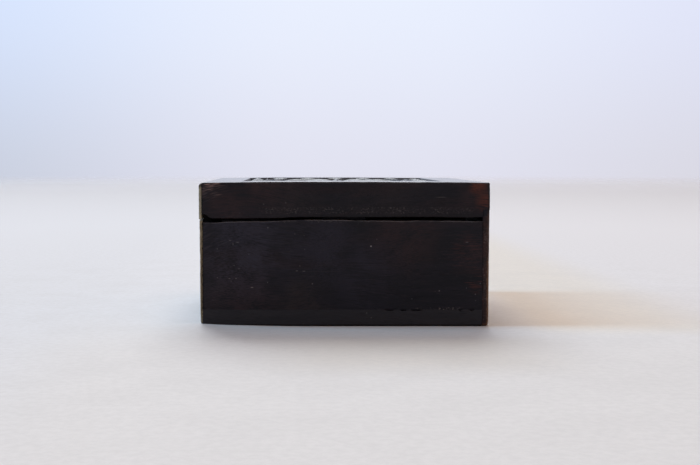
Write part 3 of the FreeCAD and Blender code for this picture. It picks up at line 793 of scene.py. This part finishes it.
# Along the front's seams: (height, where it starts, where it is full) and (height, middle, reach)
LID_BOW, LID_BOW_MIDDLE, LID_BOW_REACH = 0.24, -9.0, 48.0
LID_SLOPES = ((0.16, -20.0, -36.0),)
LID_CORNER, LID_CORNER_REACH = 0.8, 0.45
PANEL_SLOPES = ((0.56, -8.0, -38.0), (0.2, -4.0, 6.0), (0.2, 20.0, 37.0))
PANEL_DIPS = ((0.12, 15.4, 3.0), (0.2, -37.0, 3.0), (0.12, -21.5, 5.0))
PANEL_DROP, CLEAT_HANG = 0.03, 0.13
CLEAT_SLOPES = ((0.36, -10.0, -23.0), (0.1, 24.0, 30.0), (-0.1, 33.0, 36.0))
CLEAT_CORNER, CLEAT_CORNER_AT = 1.1, -38.3
SPLINTER_DEPTH = 0.36
SPLINTERS = ((12.6, 1.3), (16.4, 1.1), (20.1, 1.8), (32.1, 0.7), (35.3, 0.6))


def slopes(x, table):
    """Smooth steps along the front, added up."""
    return sum(height * ease(x, start, end) for height, start, end in table)


def dips(x, table):
    """Soft humps or hollows along the front, added up."""
    return sum(height * np.exp(-(((x - middle) / reach) ** 2)) for height, middle, reach in table)


def evenly(radius):
    """The same edge rounding everywhere."""
    return lambda points: np.full(len(points), radius)


def lower_ends(p, low, high):
    """Lets the lid's top fall towards both ends, and round off at its left end."""
    x, top = p[:, 0], high[2]
    bow = LID_BOW * ((x - LID_BOW_MIDDLE) / LID_BOW_REACH) ** 2 + slopes(x, LID_SLOPES)
    corner = LID_CORNER * np.exp(-np.maximum(x + HALF, 0.0) / LID_CORNER_REACH)
    p[:, 2] -= (bow + corner) * ease(p[:, 2], top - 4.0, top - 0.2)
    return p


def make_skin():
    """The outer shape of the whole box, worn by handling, as one block that the side walls are cut to."""
    low = np.array([-HALF, -HALF, 0.0]) + SKIN_INSET
    high = np.array([HALF, HALF, TOP]) - SKIN_INSET

    def radius(p):
        corner = ease(p[:, 0], *CORNER_WEAR) * ease(p[:, 1], *CORNER_WEAR)
        return 0.22 + (0.4 + 1.1 * corner) * ease(p[:, 2], *FOOT_WEAR)

    def shape(p, low, high):
        left = ease(p[:, 0], -HALF + 2.0, -HALF + 0.5)
        p[:, 0] += left * (0.3 - 0.14 * ease(p[:, 2], 0.0, LID_UNDER))
        right = ease(p[:, 0], HALF - 2.0, HALF - 0.5)
        notch = np.clip(ripple(p, 2.2, 95) - 0.35, 0, 1) * ease(p[:, 1], -HALF + 1.0, -HALF + 0.3)
        p[:, 0] += (0.22 * left - 0.18 * right) * notch
        return p

    return mesh_object("outer_skin", *worn_block(low, high, radius, 91, shape=shape, spacing=1.6))


def make_front_panel():
    """The loose front board. Its top edge is rubbed low at both ends, so the slit is wider there."""

    def radius(p):
        return TIGHT + 0.18 * ease(p[:, 2], *PANEL_WEAR)

    def shape(p, low, high):
        near_top = ease(p[:, 2], high[2] - 4.0, high[2] - 0.3)
        drop = PANEL_DROP + slopes(p[:, 0], PANEL_SLOPES) + dips(p[:, 0], PANEL_DIPS)
        drop += 0.04 * ripple(p * ALONG, 7.0, 31) + 0.045 * np.clip(ripple(p * ALONG, 1.6, 32), -1, 1)
        p[:, 2] -= near_top * drop
        return p

    wider = ((-0.08, 0.0, -0.03), (-0.14, 0.0, 0.0))
    covered = ("left", "right", "under")
    return worn_board("front_panel", radius, 11, wider, shape=shape, spacing=0.6, covered=covered)


def make_lid_cleat():
    """The strip under the lid's front. It hangs lower at the left, and its lower left corner is gone."""

    def radius(p):
        return SEAM + 0.19 * ease(p[:, 2], *CLEAT_WEAR)

    def shape(p, low, high):
        x = p[:, 0]
        hang = CLEAT_HANG + slopes(x, CLEAT_SLOPES)
        hang += 0.03 * np.clip(ripple(p * ALONG, 3.0, 41), -1, 1)
        hang -= 0.1 * np.clip(ripple(p * ALONG, 1.3, 42) - 0.3, 0, 1)
        lift = CLEAT_CORNER * np.exp(-(np.maximum(x - CLEAT_CORNER_AT, 0.0) ** 2))
        p[:, 2] += (lift - hang) * ease(p[:, 2], high[2], low[2])
        return p

    wider = ((0.0, 0.0, 0.0), (-0.16, 0.0, -0.06))
    return worn_board("lid_cleat", radius, 21, wider, shape=shape, spacing=0.4, covered=SIDES)


def make_base_board():
    """The bottom board. Splinters are missing along its seam at the right of the front."""

    def radius(p):
        return TIGHT + 0.35 * ease(p[:, 2], *BASE_WEAR)

    def shape(p, low, high):
        front = ease(p[:, 1], low[1] + 1.2, low[1]) * ease(p[:, 2], high[2] - 0.9, high[2] - 0.1)
        for middle, half in SPLINTERS:
            p[:, 2] -= SPLINTER_DEPTH * front * ease(abs(p[:, 0] - middle), half, half * 0.5)
        return p

    off_floor = ((0.0, 0.0, 0.02), (0.0, 0.0, 0.0))
    covered = ("left", "right", "top", "under")
    return worn_board("base_board", radius, 51, off_floor, shape=shape, spacing=0.6, covered=covered)


def make_back_wall():
    """The plain board at the back."""
    thinner = ((0.0, 0.0, 0.0), (0.0, 0.06, 0.0))
    return worn_board("back_wall", evenly(0.1), 61, thinner, covered=("left", "right", "under"))


def make_lid_strip():
    """The thin strip on the lid's left side, rounded at its top."""
    return worn_board("lid_left_strip", evenly(0.25), 71, shape=lower_ends, spacing=1.6)


TOP_SLOT, CARVED_SLOT = 1, 2
TOP_DEPTH, LEVEL = 1.5, 0.9


def make_lid_board():
    """The lid with its carved top and rubbed upper edges."""

    def radius(p):
        return SEAM + 0.35 * ease(p[:, 2], *LID_WEAR) * ease(p[:, 0], STRIP_SEAM, STRIP_SEAM + 0.6)

    options = {"shape": lower_ends, "field": CarvedField(82), "covered": ("left", "under")}
    board = worn_board("lid_board", radius, 81, ending="_carved", **options)
    for face in board.data.polygons:
        x, y, z = face.center / MM
        if z > TOP - TOP_DEPTH and max(abs(x), abs(y)) < CarvedField.half:
            face.material_index = CARVED_SLOT
        elif z > TOP - TOP_DEPTH and face.normal.z > LEVEL:
            face.material_index = TOP_SLOT
    return board


def dress(piece, node, body, *materials, slot="dark_wood"):
    """Puts a finished piece in a CAD node's place."""
    for material in materials:
        piece.data.materials.append(material)
    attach(piece, body)
    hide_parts(node)


BEVEL, RUNNER_BEVEL = 0.15, 0.12
BEVEL_FROM = math.radians(40)


def coat(node, material, bevel=None):
    """Gives a CAD node its material, and softens its edges where bevel is a width."""
    target = NODES[node]
    target.data.materials.clear()
    target.data.materials.append(material)
    if bevel:
        weld = target.modifiers.new("weld", "WELD")
        weld.merge_threshold = MERGE_MM * MM
        soft = target.modifiers.new("soft_edges", "BEVEL")
        soft.width = bevel * MM
        soft.segments = 2
        soft.limit_method = "ANGLE"
        soft.angle_limit = BEVEL_FROM


ROOM = ((-INSIDE - 0.1, INNER_FACE - 0.2, FLOOR - 0.1), (INSIDE + 0.1, ROOM_BACK + 0.1, LID_UNDER - 0.4))
LID_FACE = ((-HALF + 1.5, PANEL_BACK, LID_UNDER - 1.0), (HALF - 2.5, HALF - 0.5, LID_UNDER + 0.05))
# Painted highlight: the left wall's front end takes the olive colour of cool light from the left
LEFT_END_HIGHLIGHT = ((-FAR, -FAR, -FAR), (LIP_LEFT - 0.08, -HALF + 0.5, FAR))
RIGHT_END = ((LIP_RIGHT - 0.1, -FAR, -FAR), (FAR, -HALF + 0.6, 30.4))
# Painted highlight: where the right edge is coloured orange as if lit by warm light
RIGHT_RIM_HIGHLIGHT = ((HALF - 0.5, -FAR, -FAR), (FAR, -HALF + 0.5, 18.0))
GLUE_LINE = ((-21.0, -FAR, LID_UNDER - 0.8), (33.0, -HALF + 0.4, LID_UNDER + 0.5))
SEAM_LINE = ((22.2, -FAR, FLOOR - 0.1), (29.6, -HALF + 0.4, FLOOR + 0.35))
# Painted highlight: broken pale dots along the loose board's top edge, under the slit
SLIT_EDGE_HIGHLIGHT = ((-22.0, -FAR, PANEL_TOP - 0.5), (36.0, -HALF + 0.5, PANEL_TOP))
POST_LINE = ((LIP_RIGHT + 0.5, -FAR, 2.0), (LIP_RIGHT + 0.9, -HALF + 0.4, 27.0))
# Painted shade: the rebate shoulders seen through the slit are coloured black where shade falls
SHADED_SHOULDERS = ((-FAR, SHOULDER - 0.3, FLOOR), (FAR, SHOULDER + 0.3, LID_UNDER - 0.2))
STRIP_LINE = ((STRIP_SEAM - 0.1, -FAR, -FAR), (STRIP_SEAM + 0.22, -HALF + 0.6, TOP - 1.2))


def on_front(*rows):
    """Marks whose first two values, x and z, become a point on the front."""
    return [((x, -HALF, z), *rest) for x, z, *rest in rows]


MARK_DEPTH = 2.0
# Specks on the front board: x, z, width, height and amount
FRONT_SPECKS = (
    (7.4, 22.2, 0.65, 0.6, 0.9),
    (-25.4, 10.8, 1.1, 0.4, 0.55),
    (-31.6, 13.3, 0.8, 0.4, 0.4),
    (-29.8, 13.3, 0.8, 0.4, 0.4),
    (-31.4, 23.8, 1.0, 0.5, 0.25),
    (-30.6, 22.8, 0.5, 1.2, 0.22),
    (-29.4, 23.3, 1.3, 0.5, 0.22),
    (-30.3, 16.9, 0.8, 0.5, 0.2),
    (-29.0, 16.0, 0.9, 0.6, 0.2),
    (-13.0, 15.4, 0.9, 0.4, 0.3),
    (-11.1, 15.3, 1.2, 0.4, 0.28),
    (-21.0, 27.3, 0.7, 0.6, 0.25),
    (33.8, 23.3, 1.2, 0.5, 0.22),
)


def front_wood():
    """The loose front board: bluish in the middle, rusty low at the left, with hairlines and specks, and a
    pale top edge that is partly wear and partly a painted highlight.
    """
    # The pale worn colour on the top edge is partly wear and partly a painted highlight of the lit edge under
    # the slit
    look = dict(BLACK_WOOD, worn=(0.165, 0.16, 0.178), wear=0.95, wear_width=0.32)
    patches = on_front(
        (35.5, 21.0, 7.0, RUST, 0.8),
        (16.0, 25.0, 15.0, RUST, 0.6),
        (-28.0, 9.0, 14.0, RUST, 0.9),
        (-12.0, 6.0, 10.0, BROWN, 0.9),
        (-28.0, 21.0, 20.0, PALE_HAZE, 1.0),
        (-6.0, 22.0, 13.0, HAZE, 0.9),
        (6.0, 14.0, 13.0, HAZE, 0.9),
    )
    scuffs = on_front(
        (-39.0, 22.0, 10.0, 24.0, HAIR, 0.75),
        (-39.0, 8.0, 10.0, 16.0, HAIR, 0.7),
        (-12.0, 20.0, 18.0, 6.0, HAIR, 0.22),
        (34.5, 20.5, 8.0, 2.0, DULL_RED, 0.6),
        (36.4, 12.4, 4.0, 1.0, DULL_RED, 1.0),
    )
    dashes = on_front(
        *((x, z, (wide, MARK_DEPTH, high), PALE_SPECK, amount) for x, z, wide, high, amount in FRONT_SPECKS),
        (-8.0, 15.2, (22.0, MARK_DEPTH, 0.35), HAIR, 0.22),
    )
    # The first entry is a real glue line at the base; the second uses the same pale dots as a painted
    # highlight along the top edge
    glue = [(SEAM_LINE, 1.0), (SLIT_EDGE_HIGHLIGHT, 0.5)]
    return wood("front_wood", look, patches=patches, scuffs=scuffs, dashes=dashes, glue=glue)


def base_wood():
    """The bottom board, with painted shade in black along its foot."""
    # Painted shade: a soft black band along the bottom of the front, where the contact shadow falls
    foot_shade = on_front((0.0, 0.0, (200.0, 3.0, 1.4), BLACK_MARK_AND_SHADE, 0.8))
    return wood("base_wood", BASE_WOOD, raw=ROOM, dashes=foot_shade)


def lid_patches():
    """Where the stain on the lid's front has turned red or brown."""
    return on_front(
        (36.6, 38.6, 3.2, RED, 1.0),
        (38.7, 34.4, 3.6, RED, 1.0),
        (36.5, 35.5, 6.5, RUST, 0.7),
        (-33.0, 33.4, 9.0, RUST, 0.7),
        (-22.0, 40.0, 12.0, RUST, 0.8),
        (-14.0, 33.6, 10.0, BROWN, 0.5),
        (12.0, 36.0, 16.0, BROWN, 0.3),
    )


def lid_wood():
    """The lid's sides: red at the right end, scuffed pale at the upper left corner."""
    scuffs = on_front(
        (-36.4, 39.2, 5.0, 8.0, PINK_SCUFF, 1.0),
        (-37.0, 38.4, 4.0, 20.0, PINK_SCUFF, 0.7),
        (-38.0, 37.0, 4.5, 26.0, HAIR, 0.9),
    )
    dashes = on_front(
        (-37.6, 39.2, (2.2, MARK_DEPTH, 0.6), PINK_SCUFF, 0.7),
        (-35.0, 39.4, (2.8, MARK_DEPTH, 0.5), PINK_SCUFF, 0.6),
        (26.5, 35.7, (4.2, MARK_DEPTH, 0.35), GLUE, 0.3),
        (29.5, 34.2, (5.0, MARK_DEPTH, 0.5), BLACK_MARK_AND_SHADE, 0.6),
        (40.0, 36.5, (1.6, MARK_DEPTH, 14.0), BLACK_MARK_AND_SHADE, 0.7),
    )
    return wood(
        "lid_wood",
        LID_WOOD,
        raw=LID_FACE,
        glue=[(GLUE_LINE, 0.5)],
        patches=lid_patches(),
        scuffs=scuffs,
        dashes=dashes,
        zones=[(STRIP_LINE, BLACK_MARK_AND_SHADE)],
    )


def make_pieces():
    """Every board that replaces a CAD node."""
    dress(make_front_panel(), "front_panel", "front_panel", front_wood())
    # Painted shade: a soft black band along the lid's lower front edge, above the slit
    shade = on_front((9.0, 30.2, (70.0, 3.0, 1.6), BLACK_MARK_AND_SHADE, 0.5))
    cleat = wood("cleat_wood", LID_WOOD, glue=[(GLUE_LINE, 0.5)], patches=lid_patches(), dashes=shade)
    dress(make_lid_cleat(), "lid_cleat", "lid", cleat)
    top, carving = wood("lid_top_wood", POLISHED_TOP), carved_wood("lid_carved_wood", CARVED_TOP)
    dress(make_lid_board(), "lid_board", "lid", lid_wood(), top, carving)
    end = [((-HALF, -HALF, TOP - 0.9), (3.0, 3.0, 2.6), BROWN, 0.8)]
    # The strip's colour is a painted highlight of the cool light from the left
    strip = wood("strip_highlight_wood", STRIP_HIGHLIGHT_WOOD, "Y", dashes=end)
    dress(make_lid_strip(), "lid_left_strip", "lid", strip, slot="edge_wood")
    dress(make_base_board(), "base_board", "carcass", base_wood())
    dress(make_back_wall(), "back_wall", "carcass", wood("back_wood", BLACK_WOOD, raw=ROOM))
    skin = make_skin()
    # The left wall's rubbed edges are olive, partly wear and partly a painted highlight of cool light; its
    # front end is a painted highlight and its shoulders get painted shade
    left_look = dict(BLACK_WOOD, worn=OLIVE_HIGHLIGHT_WOOD["worn"])
    left_zones = [(SHADED_SHOULDERS, BLACK_MARK_AND_SHADE), (LEFT_END_HIGHLIGHT, OLIVE_HIGHLIGHT_WOOD)]
    left = wood("left_wall_wood", left_look, "Y", "box", raw=ROOM, zones=left_zones)
    dress(trimmed_wall("left_wall", skin), "left_wall", "carcass", left)
    # The right wall's rubbed edges are orange, partly wear and partly a painted highlight of warm light; its
    # rim is a painted highlight, its end a red stain, and its shoulders get painted shade
    right_look = dict(BLACK_WOOD, worn=(0.17, 0.096, 0.06), wear=0.85)
    right_zones = [(SHADED_SHOULDERS, BLACK_MARK_AND_SHADE), (RIGHT_END, RED_END), (RIGHT_RIM_HIGHLIGHT, ORANGE_RIM_HIGHLIGHT)]
    right = wood("right_wall_wood", right_look, "Y", "box", ROOM, [(POST_LINE, 0.5)], zones=right_zones)
    dress(trimmed_wall("right_wall", skin), "right_wall", "carcass", right)
    bpy.data.objects.remove(skin)


def coat_cad_nodes():
    """Materials of the CAD nodes that stay."""
    coat("inner_front_wall", wood("inner_front_wood", BLACK_WOOD, "X", None, raw=ROOM), BEVEL)
    coat("panel_key", wood("key_wood", BLACK_WOOD, "Z", None), BEVEL)
    planed = {axis: wood("inner_wood_" + axis.lower(), RAW_WOOD, axis, None) for axis in "XYZ"}
    turned_peg = {axis: wood("peg_wood_" + axis.lower(), PEG_WOOD, axis, None) for axis in "XYZ"}
    steel = turned_steel("pin_steel_turned")
    for node in ("lock_block_left", "lock_block_right", "lid_catch_batten"):
        coat(node, planed["X"], BEVEL)
    coat("lid_fork", planed["Z"], BEVEL)
    coat("base_pegs", turned_peg["Z"])
    for node in ("back_wall_pegs", "key_pegs"):
        coat(node, turned_peg["Y"])
    for side in ("left", "right"):
        coat("lid_runner_" + side, planed["Y"], RUNNER_BEVEL)
        coat("bore_plug_" + side, turned_peg["X"])
        coat("lock_pin_" + side, steel)


# Stage, light and camera

FLOOR_SIZE = 3800.0
FLOOR_DROP = 0.01
SHEET = ((-HALF - 18.0, 0.0), (-HALF - 16.0, -HALF + 10.0))
SHEET_STEP, SHEET_ROUND = 0.5, 400.0
# Floor colours: left, right and near are a painted tint of the cool and warm light; the cool and the two warm
# colours are painted shade and shadow tints to the left, in front of and beside the box
FLOOR_LEFT, FLOOR_RIGHT = (0.82, 0.84, 0.88), (0.82, 0.82, 0.845)
FLOOR_NEAR, FLOOR_FAR = (0.805, 0.8, 0.802), (0.45, 0.45, 0.47)
FLOOR_LEFT_SHADE = (0.785, 0.805, 0.845)
FLOOR_FRONT_SHADE, FLOOR_SIDE_SHADE = (0.775, 0.755, 0.725), (0.812, 0.78, 0.728)
FLOOR_UNEVEN, FLOOR_SPECK = (0.55, 0.545, 0.54), (0.6, 0.6, 0.6)


def sheet_swell(p):
    """How high the floor's sheet swells against the box, in front of its left corner."""
    x, y = p[:, 0], p[:, 1]
    along = slopes(x, ((0.42, -10.0, -38.0),)) + dips(x, ((0.28, -HALF, 5.0),))
    ahead = ease(y, -HALF - 14.0, -HALF) * ease(y, -HALF + 8.0, -HALF)
    return along * ahead * ease(x, -HALF - 16.0, -HALF + 1.0)


def floor_mesh():
    """A wide sheet with a fine grid where it swells, in metres."""
    lines = []
    for first, last in SHEET:
        fine = np.arange(first, last, SHEET_STEP)
        lines.append(np.concatenate([[-FLOOR_SIZE, -SHEET_ROUND], fine, [SHEET_ROUND, FLOOR_SIZE]]))
    xs, ys = lines
    n = len(xs)
    spots = np.array([(x, y, 0.0) for y in ys for x in xs])
    spots[:, 2] = sheet_swell(spots)
    firsts = [j * n + i for j in range(len(ys) - 1) for i in range(n - 1)]
    mesh = bpy.data.meshes.new("floor")
    mesh.from_pydata([tuple(p) for p in spots * MM], [], [(a, a + 1, a + n + 1, a + n) for a in firsts])
    mesh.polygons.foreach_set("use_smooth", np.ones(len(mesh.polygons), bool))
    return mesh


def floor_look():
    """Pale paper, in metres, with painted light: tinted cooler to the left, darker and warmer where the box's
    shadows fall, and see-through far away.
    """
    material, g, shader = new_material("floor_pale")
    place = g.node("TexCoord", output="Object")
    x, y, _ = g.parts(place)
    away = g.distance(place, (0.0, 0.0, 0.0))
    # Painted tint of the light: cooler to the left, warmer to the right and warmer near the front
    colour = g.mix(g.step(x, -0.12, 0.14), FLOOR_LEFT, FLOOR_RIGHT)
    colour = g.mix(g.step(y, 0.0, -0.09), colour, FLOOR_NEAR)
    # Painted shade: darker and cooler to the left of the box
    colour = g.mix(g.step(x, -0.05, -0.1), colour, FLOOR_LEFT_SHADE)
    # Painted shadow: darker and warmer in front of the box, where its shadow falls
    front = g.times(g.band(y, (-0.054, -0.068), (-0.115, -0.09)), g.band(x, (-0.03, 0.0), (0.06, 0.03)))
    colour = g.mix(front, colour, FLOOR_FRONT_SHADE)
    # Painted shadow: darker and warmer beside the box on the right, where its shadow falls
    beside_shadow = g.times(g.band(x, (0.046, 0.06), (0.12, 0.085)), g.step(y, -0.06, -0.04))
    colour = g.mix(beside_shadow, colour, FLOOR_SIDE_SHADE)
    uneven = g.step(g.noise(place, 55.0, 3.0, 0.6), 0.35, 0.7)
    colour = g.mix(g.times(uneven, g.step(away, 0.1, 0.25, 0.12, 0.0)), colour, FLOOR_UNEVEN)
    specks = g.step(g.noise(place, 520.0, 4.0, 0.7), 0.3, 0.7)
    colour = g.mix(g.times(specks, g.step(away, 0.2, 0.5, 0.26, 0.0)), colour, FLOOR_SPECK)
    colour = g.mix(g.step(away, 0.15, 1.4, 0.0, 0.33), colour, FLOOR_FAR)
    fade = g.step(away, 1.0, 3.2, 1.0, 0.0)
    fill(g, shader, Base_Color=colour, Roughness=0.75, Alpha=fade, Specular_IOR_Level=0.2)
    return material


def make_floor():
    """A pale sheet that fades into the backdrop far away."""
    floor = linked("floor", floor_mesh())
    floor.location.z = -FLOOR_DROP * MM
    floor.data.materials.append(floor_look())


BACKDROP_LOW = ((0.56, 0.6, 0.7), (0.75, 0.75, 0.86), (0.69, 0.68, 0.75))
BACKDROP_HIGH = ((0.66, 0.77, 1.0), (0.82, 0.87, 1.0), (0.75, 0.78, 0.95))
EVEN_LIGHT, EVEN_STRENGTH = (1.0, 0.56, 0.28), 0.21


def make_world():
    """A pale backdrop for what sees it directly or in a reflection, and a low even light for the rest."""
    world = bpy.data.worlds.new("studio")
    bpy.context.scene.world = world
    world.use_nodes = True
    tree = world.node_tree
    tree.nodes.clear()
    g = Graph(tree)
    x, _, z = g.parts(g.node("TexCoord", output="Generated"))
    rise = g.step(z, -0.05, 0.16)
    from_left, to_right = g.step(x, -0.36, 0.02), g.step(x, 0.1, 0.42)

    def across(left, middle, right):
        return g.mix(to_right, g.mix(from_left, left, middle), right)

    backdrop = g.mix(rise, across(*BACKDROP_LOW), across(*BACKDROP_HIGH))
    shown = g.node("Background", {"Color": backdrop, "Strength": 1.0})
    light = g.node("Background", {"Color": EVEN_LIGHT, "Strength": EVEN_STRENGTH})
    ray = g.node("LightPath").node
    seen = g.larger(ray.outputs["Is Camera Ray"], ray.outputs["Is Glossy Ray"])
    seen = g.larger(seen, ray.outputs["Is Transmission Ray"])
    both = g.node("MixShader", {0: seen, 1: light, 2: shown})
    output = tree.nodes.new("ShaderNodeOutputWorld")
    tree.links.new(both, output.inputs["Surface"])


def aim(lamp, towards):
    """Turns a lamp so that its light comes from a direction."""
    lamp.rotation_euler = towards.to_track_quat("Z", "Y").to_euler()


def make_lamp(name, azimuth, elevation, strength, colour, angle):
    """A soft distant lamp. Azimuth 0 is behind the camera, 90 to the right of the box."""
    data = bpy.data.lights.new(name, "SUN")
    data.energy = strength
    data.color = colour
    data.angle = math.radians(angle)
    lamp = linked(name, data)
    a, e = math.radians(azimuth), math.radians(elevation)
    aim(lamp, Vector((math.sin(a) * math.cos(e), -math.cos(a) * math.cos(e), math.sin(e))))


def make_window(name, elevation, distance, size, irradiance, colour):
    """A tall, narrow window of light on the left, whose shadows are sharp across and soft along the floor."""
    data = bpy.data.lights.new(name, "AREA")
    data.shape = "RECTANGLE"
    data.size, data.size_y = size
    data.energy = irradiance * math.pi * distance**2
    data.color = colour
    lamp = linked(name, data)
    e = math.radians(elevation)
    towards = Vector((-math.cos(e), 0.0, math.sin(e)))
    lamp.location = towards * distance
    aim(lamp, towards)


def make_lamps():
    """Cool window light from the left, and two soft lamps above and behind."""
    make_window("cool_left", 40, 6.0, (1.3, 4.4), 1.62, (0.38, 0.715, 1.0))
    make_lamp("warm_above", 150, 84, 0.36, (1.0, 0.42, 0.08), 60)
    make_lamp("top_back", 186, 45, 2.165, (0.91, 0.965, 0.995), 40)


LENS_MM, SENSOR_MM, LENS_SHIFT = 56.22, 36.0, 0.0797
CAMERA_AT, CAMERA_DIP = (-0.01375, -0.34, 0.0458), 3.777


def make_camera():
    """The photograph's viewpoint, a little above the lid and left of its middle, framed by a shift."""
    data = bpy.data.cameras.new("photo_view")
    data.sensor_width, data.lens, data.shift_x = SENSOR_MM, LENS_MM, LENS_SHIFT
    data.clip_start, data.clip_end = 0.01, 20.0
    camera = linked("photo_view", data)
    camera.location = CAMERA_AT
    camera.rotation_euler = (math.radians(90 - CAMERA_DIP), 0.0, 0.0)
    bpy.context.scene.camera = camera


bpy.context.scene.view_settings.view_transform = "Standard"
make_pieces()
coat_cad_nodes()
make_floor()
make_world()
make_lamps()
make_camera()
